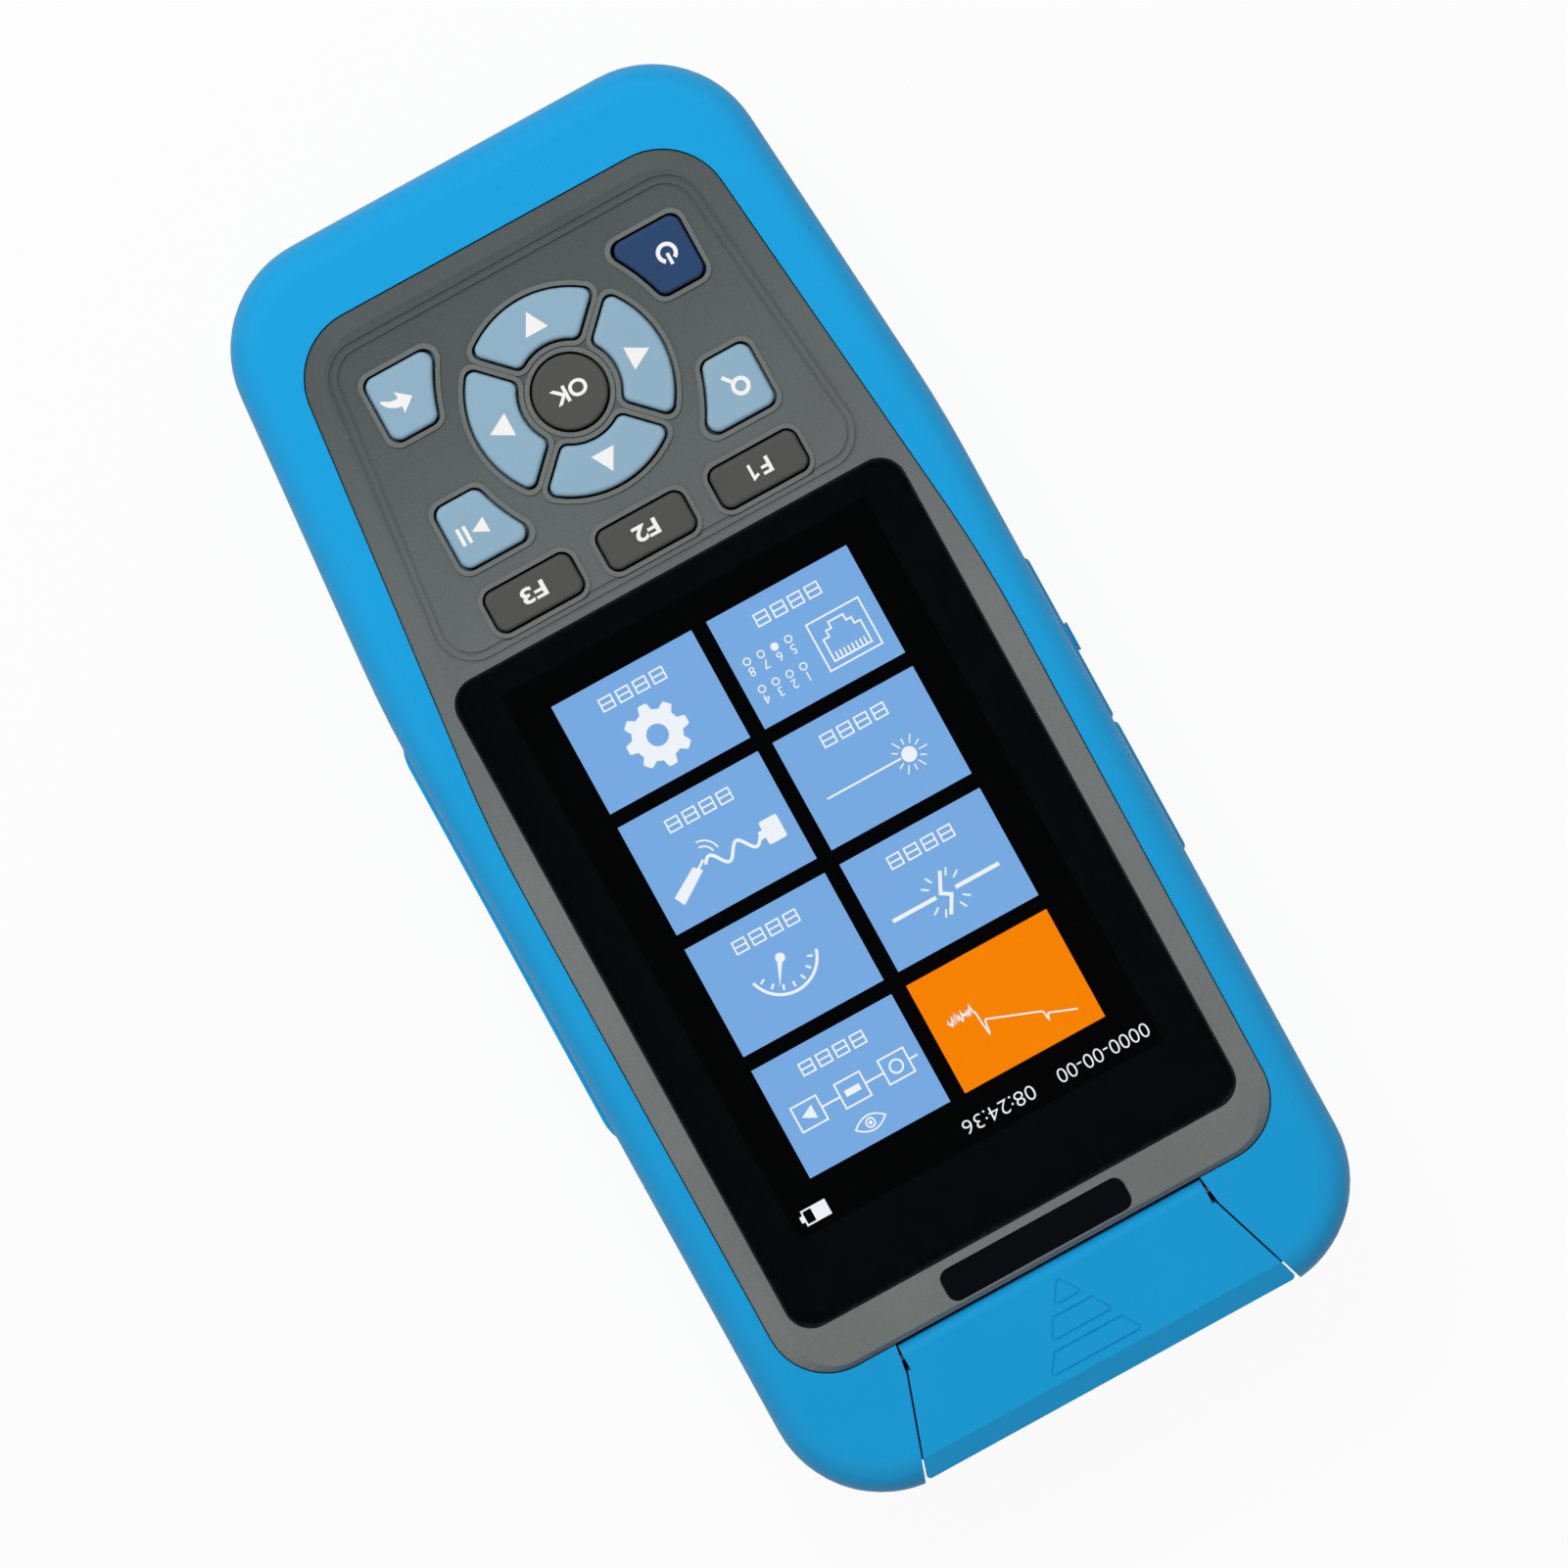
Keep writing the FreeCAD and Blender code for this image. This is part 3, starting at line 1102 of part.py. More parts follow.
def make_ports():
    turned_part("otdr_adapter", PORTS["otdr"], adapter_outline("adapter_barrel", "adapter_length", True))
    turned_part("power_meter_adapter", PORTS["power_meter"], adapter_outline("meter_barrel", "adapter_length", True))
    turned_part("fault_locator_adapter", PORTS["fault_locator"],
                adapter_outline("locator_barrel", "locator_length", False))
    nuts = []
    for port, x in PORTS.items():
        nut = document.addObject("Part::Prism", port + "_nut_block")
        nut.Polygon = 6
        bind(nut, "Circumradius", "nut_across")
        bind(nut, "Height", "nut_thick")
        nut.Placement = FreeCAD.Placement(
            FreeCAD.Vector(0, 0, 0), FreeCAD.Rotation(FreeCAD.Vector(1, 0, 0), 90))
        bind(nut, "Placement.Base.x", x)
        bind(nut, "Placement.Base.y", "panel_back_y")
        bind(nut, "Placement.Base.z", "port_height")
        bore = document.addObject("Part::Cylinder", port + "_nut_bore")
        bind(bore, "Radius", "adapter_tail")
        bind(bore, "Height", "nut_thick + 2")
        bore.Placement = FreeCAD.Placement(
            FreeCAD.Vector(0, 0, 0), FreeCAD.Rotation(FreeCAD.Vector(1, 0, 0), 90))
        bind(bore, "Placement.Base.x", x)
        bind(bore, "Placement.Base.y", "panel_back_y + 1")
        bind(bore, "Placement.Base.z", "port_height")
        document.recompute()
        nuts.append(cut_from(port + "_nut", nut, bore))
    group("adapter_nuts", nuts)
    end = "face_top_y - adapter_tail_length"
    turned_part("power_meter_detector", PORTS["power_meter"], [
        (f"{end} - 0.1", "0"), (f"{end} - 0.1", "2.7"), (f"{end} - 1.1", "2.7"), (f"{end} - 1.1", "2.3"),
        (f"{end} - 4", "2.3"), (f"{end} - 4", "0")])
    turned_part("fault_locator_laser", PORTS["fault_locator"], [
        (f"{end} - 0.1", "0"), (f"{end} - 0.1", "3"), (f"{end} - 6", "3"), (f"{end} - 6", "2"),
        (f"{end} - 8", "2"), (f"{end} - 8", "0")])


def make_flap():
    """The flap over the ports: a top, an end and two sides, turning on a barrel at its inner edge."""
    body = new_body("flap_block")
    outline = recess_outline("flap_gap", "hinge_y + hinge_barrel + flap_swing_room", "flap_end_y")
    rounded = [(x, y, "flap_corner") if y == "flap_end_y" else (x, y, radius) for x, y, radius in outline]
    prism(body, "block", rounded, "recess_floor + flap_gap", "flap_height")
    bevel = new_sketch(body, "bevel_section", "YZ_Plane", out="-top_width/2")
    draw_polygon(bevel, [
        ("flap_end_y + 1", "flap_height + 1"),
        ("flap_end_y + 1", "flap_height - flap_bevel - flap_bevel/flap_bevel_long"),
        ("flap_end_y - flap_bevel_long - flap_bevel_long/flap_bevel", "flap_height + 1")])
    pocket(body, "outer_bevel", bevel, "top_width", turned=True)
    hollow = recess_outline("flap_gap + flap_side_wall", "face_top_y", "flap_end_y - flap_end_wall")
    prism(body, "hollow", hollow, "recess_floor", "flap_height - flap_top_wall", cut=True)
    half = "recess_inner_width/2 - flap_corner_trim"
    barrel = bar_along_x("hinge_barrel_bar", "hinge_barrel", "hinge_y", "hinge_z", f"-({half})", half)
    web = block("hinge_web", f"-({half})", half, "hinge_y", "recess_knee_y + 1", "flap_height - flap_top_wall",
                "flap_height")
    whole = tool_union("flap_solid", [body, barrel, web])
    bore = bar_along_x("hinge_bore", "hinge_pin + hinge_fit", "hinge_y", "hinge_z", f"-({half}) - 1",
                       f"{half} + 1")
    keep(cut_from("port_flap", whole, tool_union("flap_cuts", [bore] + arrow_tools())))


# The arrow on the flap, from its tip on: where each part starts and ends, and half its width at both
ARROW = [("0", "3.1", "0", "2.1"), ("4", "6.7", "2.7", "4.3"), ("7.7", "10.4", "4.6", "6.4")]


def arrow_part(start, end, narrow, wide, inwards):
    """One part of the arrow, a triangle or a trapezium, moved inwards."""
    round_off = f"arrow_round - 0.6*({inwards})"
    low = f"arrow_tip_y + {start} + {inwards}"
    high = f"arrow_tip_y + {end} - {inwards}"
    if narrow == "0":
        return [(f"{wide} - 1.8*{inwards}", high, round_off), (f"1.8*{inwards} - {wide}", high, round_off),
                ("0", f"{low} + {inwards}", round_off)]
    return both_sides([(f"{wide} - 1.4*{inwards}", high, round_off), (f"{narrow} - {inwards}", low, round_off)])


def arrow_tools():
    """The grooves that draw the arrow's outlines on the flap."""
    tools = []
    for number, part in enumerate(ARROW):
        groove = new_body(f"arrow_groove{number}")
        lines = new_sketch(groove, f"arrow_lines{number}", out="flap_height - arrow_depth")
        draw_polygon(lines, arrow_part(*part, "0"))
        draw_polygon(lines, arrow_part(*part, "arrow_line"))
        pad(groove, f"arrow_pad{number}", lines, "arrow_depth + 1")
        tools.append(groove)
    return tools


def make_hinge_pin():
    reach = "recess_inner_width/2 + hinge_grip"
    keep(bar_along_x("flap_hinge_pin", "hinge_pin", "hinge_y", "hinge_z", f"-({reach})", reach))


def make_side_doors():
    """The two rubber covers on the left-hand side, which turn on their lower edges."""
    for name, low_y, high_y in (("charging_cover", "side_door_foot_y", "side_door_split_y - side_door_gap/2"),
                                ("network_cover", "side_door_split_y + side_door_gap/2", "side_door_top_y")):
        body = new_body(name)
        inner = "-(side_door_x - side_door_thick)"
        outer = "-side_door_x"
        prism(body, "plate", rectangle(outer, low_y, inner, high_y), "side_door_hinge_z", "side_door_high")
        top = size("side_door_high")
        x_outer = -size("side_door_x")
        round_edges(body, "outer_round", "side_door_round", lambda edge: abs(edge.BoundBox.XMax - x_outer) < NEAR
                    and edge.BoundBox.ZMax > top - NEAR)
        if name == "charging_cover":
            middle = "(side_door_foot_y + side_door_split_y)/2"
            prism(body, "tab", rectangle("-(side_door_x + tab_proud)", f"{middle} - tab_length/2",
                                         "-(side_door_x - 1)", f"{middle} + tab_length/2", "0"),
                  "side_door_high - 2 - tab_height", "side_door_high - 2")
        sketch = new_sketch(body, "knuckle_outline", "XZ_Plane", out=f"-({high_y})")
        draw_circle(sketch, "-side_door_hinge_x", "side_door_hinge_z", "side_door_thick/2")
        pad(body, "knuckle", sketch, f"({high_y}) - ({low_y})", turned=False)
        keep(body)


def make_sockets():
    """The network and charging sockets under the main board."""
    body = new_body("network_socket")
    face = "-socket_face_x"
    prism(body, "block", rectangle(face, "lan_y - lan_width/2", "-socket_face_x + lan_depth",
                                   "lan_y + lan_width/2"), "lan_low", "lan_low + lan_height")
    prism(body, "mouth", rectangle(f"{face} - 1", "lan_y - lan_mouth_width/2", "-socket_face_x + lan_mouth_depth",
                                   "lan_y + lan_mouth_width/2"),
          "lan_low + lan_mouth_low", "lan_low + lan_mouth_low + lan_mouth_height", cut=True)
    prism(body, "latch", rectangle(f"{face} - 1", "lan_y - latch_width/2", "-socket_face_x + lan_mouth_depth",
                                   "lan_y + latch_width/2"),
          "lan_low + lan_mouth_low - latch_drop", "lan_low + lan_mouth_low + 1", cut=True)
    keep(body)
    contacts = []
    for number in range(8):
        middle = f"lan_y + {number - 3.5}*contact_pitch"
        contacts.append(block(f"contact{number}", "-socket_face_x + 2", "-socket_face_x + lan_mouth_depth",
                              f"{middle} - contact_width/2", f"{middle} + contact_width/2",
                              "lan_low + lan_mouth_low + lan_mouth_height - 1.2",
                              "lan_low + lan_mouth_low + lan_mouth_height"))
    group("network_contacts", contacts)
    body = new_body("charging_socket")
    prism(body, "shell", rectangle(face, "usb_y - usb_width/2", "-socket_face_x + usb_depth",
                                   "usb_y + usb_width/2"), "usb_low", "usb_low + usb_height")
    upper = size("usb_low + usb_height")
    lower = size("usb_low")
    ends = [size("usb_y - usb_width/2"), size("usb_y + usb_width/2")]
    round_edges(body, "shell_round", "usb_height*0.45", lambda edge: edge.BoundBox.XLength > 1
                and edge.BoundBox.YLength < NEAR and edge.BoundBox.ZLength < NEAR
                and min(abs(edge.BoundBox.YMin - end) for end in ends) < NEAR
                and min(abs(edge.BoundBox.ZMin - lower), abs(edge.BoundBox.ZMin - upper)) < NEAR)
    prism(body, "mouth", rectangle(f"{face} - 1", "usb_y - usb_width/2 + 0.9", "-socket_face_x + usb_depth - 1.2",
                                   "usb_y + usb_width/2 - 0.9"),
          "usb_low + usb_wall", "usb_low + usb_height - usb_wall", cut=True)
    prism(body, "tongue", rectangle(f"{face} + 0.8", "usb_y - usb_width/2 + 1.7", "-socket_face_x + usb_depth - 1",
                                    "usb_y + usb_width/2 - 1.7"),
          "usb_low + usb_height/2 - 0.35", "usb_low + usb_height/2 + 0.35")
    keep(body)


def make_inner_pieces():
    body = new_body("battery_pack")
    half = "bay_width/2 - battery_gap"
    prism(body, "pack", rectangle(f"-({half})", "bay_foot_y + battery_gap", half,
                                  "bay_top_y - battery_gap - 1.6", "battery_round"), "battery_low", "battery_high")
    keep(body)
    leaves = []
    for number in range(3):
        middle = f"{number - 1}*5"
        leaves.append(block(f"leaf{number}", f"{middle} - 1.2", f"{middle} + 1.2",
                            "bay_top_y - battery_gap/2 - contact_leaf - 1", "bay_top_y",
                            "battery_low + 5", "battery_low + 9"))
    group("battery_contacts", leaves)
    body = new_body("otdr_module")
    prism(body, "case", rectangle("module_x - module_width/2", "module_foot_y", "module_x + module_width/2",
                                  "module_top_y", "1.5"), "module_low", "module_high")
    for number, y in enumerate(("module_foot_y + 8", "module_top_y - 8")):
        prism(body, f"rib{number}", rectangle("module_x - module_width/2 + 4", f"{y} - 1",
                                              "module_x + module_width/2 - 4", f"{y} + 1"),
              "module_high - 0.5", "board_bottom - seam_gap")
    keep(body)
    hub = upright_bar("reel_hub_bar", "reel_hub", "module_x", "reel_y", "reel_low", "reel_low + reel_height")
    lower = upright_bar("reel_lower", "reel_radius", "module_x", "reel_y", "reel_low", "reel_low + reel_flange")
    upper = upright_bar("reel_upper", "reel_radius", "module_x", "reel_y",
                        "reel_low + reel_height - reel_flange", "reel_low + reel_height")
    spindle = upright_bar("reel_bore", "reel_hub - 1.5", "module_x", "reel_y", "reel_low - 1",
                          "reel_low + reel_height + 1")
    keep(cut_from("fibre_reel", tool_union("reel_solid", [hub, lower, upper]), spindle))
    coil = upright_bar("coil_outer", "reel_hub + coil_thick", "module_x", "reel_y", "reel_low + reel_flange + 0.1",
                       "reel_low + reel_height - reel_flange - 0.1")
    bore = upright_bar("coil_bore", "reel_hub + 0.05", "module_x", "reel_y", "reel_low", "reel_low + reel_height")
    keep(cut_from("pigtail_coil", coil, bore))
    keep(upright_bar("buzzer", "buzzer_radius", "buzzer_x", "buzzer_y", "board_bottom - buzzer_height", "board_bottom"))


make_keys()
recess_tool = make_shells()
make_bumper(recess_tool)
make_window()
make_name_plate()
make_lcd()
make_keypad_layers()
make_main_board()
make_screws()
make_battery_cover()
make_port_panel()
make_ports()
make_flap()
make_hinge_pin()
make_side_doors()
make_sockets()
make_inner_pieces()
document.recompute()

for item in document.Objects:
    if "Invalid" in item.State or "Error" in item.State:
        raise RuntimeError(f"{item.Label} failed: {item.State}")
for name, piece in PIECES.items():
    if piece.Shape.isNull() or not piece.Shape.isValid():
        raise RuntimeError(f"{name} has no valid shape")
os.makedirs("parts", exist_ok=True)
for name, piece in PIECES.items():
    piece.Shape.exportStep(f"parts/{name}.step")
print(f"{len(PIECES)} pieces, {sum(len(piece.Shape.Solids) for piece in PIECES.values())} solids")
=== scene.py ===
# %% [markdown]
# # A handheld optical time domain reflectometer
#
# The instrument's solids come from a CAD step, packed as one frame. This script dresses them: every
# solid gets the finish of its real material, and what is too thin to be a solid, such as the white
# legends on the keys and the lit picture on the display, is added as fine meshes.
# The frame is loaded first, because every later cell measures from it.

# %% Load the solids
import json
import math

import bpy
import numpy as np
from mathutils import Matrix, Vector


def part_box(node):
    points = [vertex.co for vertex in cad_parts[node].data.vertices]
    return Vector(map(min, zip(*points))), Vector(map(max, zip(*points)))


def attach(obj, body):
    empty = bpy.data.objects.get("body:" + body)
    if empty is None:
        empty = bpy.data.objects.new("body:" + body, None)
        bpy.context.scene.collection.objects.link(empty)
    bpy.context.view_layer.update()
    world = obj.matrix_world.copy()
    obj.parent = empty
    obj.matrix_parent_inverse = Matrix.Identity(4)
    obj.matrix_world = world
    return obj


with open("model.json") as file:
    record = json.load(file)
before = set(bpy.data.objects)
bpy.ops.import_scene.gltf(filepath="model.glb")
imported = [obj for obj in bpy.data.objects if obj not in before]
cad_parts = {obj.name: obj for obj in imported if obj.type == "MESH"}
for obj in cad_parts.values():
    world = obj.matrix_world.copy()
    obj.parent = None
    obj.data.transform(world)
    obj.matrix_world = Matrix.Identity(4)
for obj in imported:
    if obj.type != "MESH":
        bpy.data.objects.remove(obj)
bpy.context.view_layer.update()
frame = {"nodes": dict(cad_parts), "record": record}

MM = 0.001

# %% [markdown]
# ## Colours as the eye sees them
#
# A shader wants linear numbers, while a given colour is written on a 0 to 255 scale that is
# bent to suit a screen. Converting once, in one small function, keeps every finish below readable:
# its colour can be checked against the real object by eye.

# %% Colour and node helpers
def colour(red, green, blue):
    """Each part divided by 255; below 0.04045 it is divided by 12.92, above it is raised to 2.4."""
    shown = np.array([red, green, blue]) / 255
    linear = np.where(shown <= 0.04045, shown / 12.92, ((shown + 0.055) / 1.055) ** 2.4)
    return (*linear.tolist(), 1.0)


def add(tree, kind, inputs=None, **settings):
    """One node of a shader tree; each input is a plain value, or the socket that feeds it."""
    made = tree.nodes.new("ShaderNode" + kind)
    for label, value in settings.items():
        setattr(made, label, value)
    for label, value in (inputs or {}).items():
        if isinstance(value, bpy.types.NodeSocket):
            tree.links.new(value, made.inputs[label])
        else:
            made.inputs[label].default_value = value
    return made


def new_group(name, inputs, outputs):
    """An empty shader group with named sockets, and its two end nodes."""
    group = bpy.data.node_groups.new(name, "ShaderNodeTree")
    for label, kind, value in inputs:
        socket = group.interface.new_socket(name=label, in_out="INPUT", socket_type="NodeSocket" + kind)
        socket.default_value = value
    for label, kind in outputs:
        group.interface.new_socket(name=label, in_out="OUTPUT", socket_type="NodeSocket" + kind)
    return group, group.nodes.new("NodeGroupInput"), group.nodes.new("NodeGroupOutput")


print("bumper blue in linear numbers:", [round(part, 3) for part in colour(20, 153, 212)])

# %% [markdown]
# ## Moulded grain
#
# The grey shell and the rubber bumper come out of spark-eroded moulds, which leave a fine matt grain.
# It could be modelled with displacement, but a grain of a third of a millimetre would need millions
# of faces. A bump map gives the same look for nothing. The grain is one group, used by every moulded
# finish with its own size: soft noise for the lumps and a cell pattern for the sharper pits.

# %% Shader group: moulded grain
grain, start, end = new_group(
    "moulded_grain", [("Size", "Float", 0.0004), ("Roughness", "Float", 0.5), ("Spread", "Float", 0.1)],
    [("Height", "Float"), ("Roughness", "Float")])
where = add(grain, "TexCoord").outputs["Object"]
fineness = add(grain, "Math", {0: 1.0, 1: start.outputs["Size"]}, operation="DIVIDE").outputs[0]
lumps = add(grain, "TexNoise", {"Vector": where, "Scale": fineness, "Detail": 3.0})
pits = add(grain, "TexVoronoi", {"Vector": where, "Scale": fineness})
height = add(grain, "Math", {0: pits.outputs["Distance"], 1: 0.45, 2: lumps.outputs["Fac"]},
             operation="MULTIPLY_ADD").outputs[0]
grain.links.new(height, end.inputs["Height"])
patches = add(grain, "TexNoise", {"Vector": where, "Scale": 130.0, "Detail": 4.0}).outputs["Fac"]
about_zero = add(grain, "Math", {0: patches, 1: 0.5}, operation="SUBTRACT").outputs[0]
uneven = add(grain, "Math", {0: about_zero, 1: start.outputs["Spread"], 2: start.outputs["Roughness"]},
             operation="MULTIPLY_ADD").outputs[0]
grain.links.new(uneven, end.inputs["Roughness"])
print("group", grain.name, "with", len(grain.nodes), "nodes")

# %% [markdown]
# ## Uneven tone
#
# Coloured rubber and plastic are never quite one colour: the pigment flows with the melt and hands
# leave faint marks. Two noises, one as wide as a thumb and one as fine as the grain, move the
# brightness a few percent. Tiny dark specks, as dust leaves in soft rubber, can be added.

# %% Shader group: uneven tone
tone, start, end = new_group(
    "uneven_tone",
    [("Colour", "Color", (0.5, 0.5, 0.5, 1.0)), ("Amount", "Float", 0.05), ("Specks", "Float", 0.0)],
    [("Colour", "Color")])
where = add(tone, "TexCoord").outputs["Object"]
broad = add(tone, "TexNoise", {"Vector": where, "Scale": 70.0, "Detail": 5.0}).outputs["Fac"]
fine = add(tone, "TexNoise", {"Vector": where, "Scale": 2600.0, "Detail": 2.0}).outputs["Fac"]
both = add(tone, "Math", {0: fine, 1: 0.6, 2: broad}, operation="MULTIPLY_ADD").outputs[0]
about_zero = add(tone, "Math", {0: both, 1: 0.8}, operation="SUBTRACT").outputs[0]
brightness = add(tone, "Math", {0: about_zero, 1: start.outputs["Amount"], 2: 1.0},
                 operation="MULTIPLY_ADD").outputs[0]
spots = add(tone, "TexVoronoi", {"Vector": where, "Scale": 150.0}).outputs["Distance"]
speck = add(tone, "MapRange", {"Value": spots, "From Min": 0.02, "From Max": 0.05, "To Min": 1.0,
                               "To Max": 0.0})
darker = add(tone, "Math", {0: speck.outputs["Result"], 1: start.outputs["Specks"]}, operation="MULTIPLY")
level = add(tone, "Math", {0: brightness, 1: darker.outputs[0]}, operation="SUBTRACT").outputs[0]
shifted = add(tone, "HueSaturation", {"Color": start.outputs["Colour"], "Value": level})
tone.links.new(shifted.outputs["Color"], end.inputs["Colour"])
print("group", tone.name, "with", len(tone.nodes), "nodes")

# %% [markdown]
# ## Drawn metal
#
# Pressed, turned and brushed metal parts all carry fine parallel lines. Noise that is stretched a
# lot in one direction gives such lines. The group takes the stretch as three numbers, so that a
# screw head and a folded tin case can each have lines that run their own way.

# %% Shader group: drawn metal
drawn, start, end = new_group(
    "drawn_metal", [("Stretch", "Vector", (1.0, 12.0, 12.0)), ("Roughness", "Float", 0.35)],
    [("Height", "Float"), ("Roughness", "Float")])
where = add(drawn, "TexCoord").outputs["Object"]
pulled = add(drawn, "VectorMath", {0: where, 1: start.outputs["Stretch"]},
             operation="MULTIPLY").outputs["Vector"]
lines = add(drawn, "TexNoise", {"Vector": pulled, "Scale": 700.0, "Detail": 3.0}).outputs["Fac"]
drawn.links.new(lines, end.inputs["Height"])
about_zero = add(drawn, "Math", {0: lines, 1: 0.5}, operation="SUBTRACT").outputs[0]
uneven = add(drawn, "Math", {0: about_zero, 1: 0.3, 2: start.outputs["Roughness"]},
             operation="MULTIPLY_ADD").outputs[0]
drawn.links.new(uneven, end.inputs["Roughness"])
print("group", drawn.name, "with", len(drawn.nodes), "nodes")

# %% [markdown]
# ## Finishes from those groups
#
# A finish is one Principled shader fed by the groups. Two functions make the two families, moulded
# and metal. Values that are the same all over a piece are set straight on the shader, because only
# what changes over the surface needs nodes.

# %% Two families of finish
def moulded(name, shown, roughness, grain_size, grain_depth, unevenness=0.06, specks=0.0, sockets=None):
    """A moulded plastic or rubber: its colour with faint patches, and a fine grain as bump."""
    finish = bpy.data.materials.new(name)
    finish.use_nodes = True
    tree = finish.node_tree
    shader = tree.nodes["Principled BSDF"]
    shade = add(tree, "Group", node_tree=tone)
    shade.inputs["Colour"].default_value = colour(*shown)
    shade.inputs["Amount"].default_value = unevenness
    shade.inputs["Specks"].default_value = specks
    tree.links.new(shade.outputs["Colour"], shader.inputs["Base Color"])
    surface = add(tree, "Group", node_tree=grain)
    surface.inputs["Size"].default_value = grain_size
    surface.inputs["Roughness"].default_value = roughness
    surface.inputs["Spread"].default_value = 0.12
    tree.links.new(surface.outputs["Roughness"], shader.inputs["Roughness"])
    bump = add(tree, "Bump", {"Height": surface.outputs["Height"], "Distance": grain_depth})
    tree.links.new(bump.outputs["Normal"], shader.inputs["Normal"])
    for label, value in (sockets or {}).items():
        shader.inputs[label].default_value = value
    return finish


def metal(name, shown, roughness, stretch, depth):
    """A metal: drawn lines in its roughness and bump, and its colour a little uneven."""
    finish = bpy.data.materials.new(name)
    finish.use_nodes = True
    tree = finish.node_tree
    shader = tree.nodes["Principled BSDF"]
    shader.inputs["Metallic"].default_value = 1.0
    shade = add(tree, "Group", node_tree=tone)
    shade.inputs["Colour"].default_value = colour(*shown)
    shade.inputs["Amount"].default_value = 0.1
    tree.links.new(shade.outputs["Colour"], shader.inputs["Base Color"])
    surface = add(tree, "Group", node_tree=drawn)
    surface.inputs["Stretch"].default_value = stretch
    surface.inputs["Roughness"].default_value = roughness
    tree.links.new(surface.outputs["Roughness"], shader.inputs["Roughness"])
    bump = add(tree, "Bump", {"Height": surface.outputs["Height"], "Distance": depth})
    tree.links.new(bump.outputs["Normal"], shader.inputs["Normal"])
    return finish


# %% [markdown]
# ## The finishes of the solids
#
# The bumper is satin silicone rubber with a shallow grain, and the shells are grey plastic with a
# deeper one. The keys are the same satin rubber in three colours. Inside, the parts are what such
# parts usually are: green boards, tin-plated cases and nickel adapters.

# %% Moulded and metal finishes
FINISHES = {
    "bumper_blue": moulded("bumper_rubber", (20, 153, 212), 0.5, 0.00035, 0.000012, 0.05, 0.16,
                           {"Specular IOR Level": 0.3}),
    "shell_grey": moulded("shell_plastic", (111, 116, 115), 0.34, 0.00035, 0.00005, 0.24),
    "panel_black": moulded("panel_plastic", (38, 39, 42), 0.55, 0.0004, 0.00003),
    "plate_black": moulded("name_plate_film", (7, 9, 14), 0.4, 0.0006, 0.00002, 0.05, 0.0,
                           {"Specular IOR Level": 0.12}),
    "key_light_blue": moulded("key_rubber_light_blue", (136, 168, 188), 0.5, 0.0003, 0.000008, 0.04),
    "key_navy": moulded("key_rubber_navy", (36, 64, 103), 0.5, 0.0003, 0.000008, 0.05),
    "key_dark": moulded("key_rubber_dark", (76, 76, 74), 0.5, 0.0003, 0.000008, 0.05),
    "silicone_grey": moulded("mat_silicone", (120, 124, 126), 0.6, 0.0004, 0.00001),
    "socket_black": moulded("socket_plastic", (24, 24, 26), 0.45, 0.0003, 0.00001),
    "module_metal": metal("module_tin_case", (196, 198, 200), 0.34, (1.0, 14.0, 14.0), 0.000004),
    "adapter_metal": metal("adapter_nickel", (200, 198, 192), 0.24, (10.0, 1.0, 10.0), 0.000002),
    "steel": metal("screw_zinc", (176, 178, 182), 0.34, (8.0, 8.0, 1.0), 0.000003),
    "contact_gold": metal("contact_gold", (228, 178, 92), 0.25, (1.0, 9.0, 9.0), 0.000002),
}
print("finishes so far:", len(FINISHES))

# %% [markdown]
# ## Shading that the lamp can't give
#
# In the photograph the grey face is palest beside the window and darkest at the keypad's foot, while
# the blue bumper pales the other way. The real shell is most likely one colour, and the one lamp here
# doesn't give both. So this blend stands in for the light of the photograph and isn't a trait of the
# plastic: the shell's colour runs from its pale tone to a darker one over seven centimetres, from
# beside the window to below the last keys. The raised rims of the key wells catch light there too, so
# they get a paler tone. They are the highest points of the shell, and their height tells them apart.

# %% Shell: two tones along the length, and paler rims
tree = FINISHES["shell_grey"].node_tree
shade = [node for node in tree.nodes if node.type == "GROUP" and node.node_tree == tone][0]
where = add(tree, "TexCoord").outputs["Object"]
place = add(tree, "SeparateXYZ", {"Vector": where})
darkest_y, palest_y = -70 * MM, 0.0
pale_share = add(tree, "MapRange", {"Value": place.outputs["Y"], "From Min": darkest_y,
                                    "From Max": palest_y}).outputs["Result"]
blend = add(tree, "Mix", data_type="RGBA")
tree.links.new(pale_share, blend.inputs["Factor"])
blend.inputs["A"].default_value = colour(75, 81, 81)
blend.inputs["B"].default_value = shade.inputs["Colour"].default_value
rim_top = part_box("front_shell")[1].z
raised = add(tree, "MapRange", {"Value": place.outputs["Z"], "From Min": rim_top - 0.22 * MM,
                                "From Max": rim_top - 0.04 * MM}).outputs["Result"]
rimmed = add(tree, "Mix", data_type="RGBA")
tree.links.new(raised, rimmed.inputs["Factor"])
tree.links.new(blend.outputs["Result"], rimmed.inputs["A"])
rimmed.inputs["B"].default_value = colour(107, 112, 110)
tree.links.new(rimmed.outputs["Result"], shade.inputs["Colour"])
print("rims reach z =", round(rim_top / MM, 2), "mm")

# %% [markdown]
# ## Boards
#
# A circuit board is green lacquer over copper tracks, and the tracks show as slightly paler, raised
# lines. A brick pattern with thin joints reads as tracks at this scale. The lacquer itself is glossy.

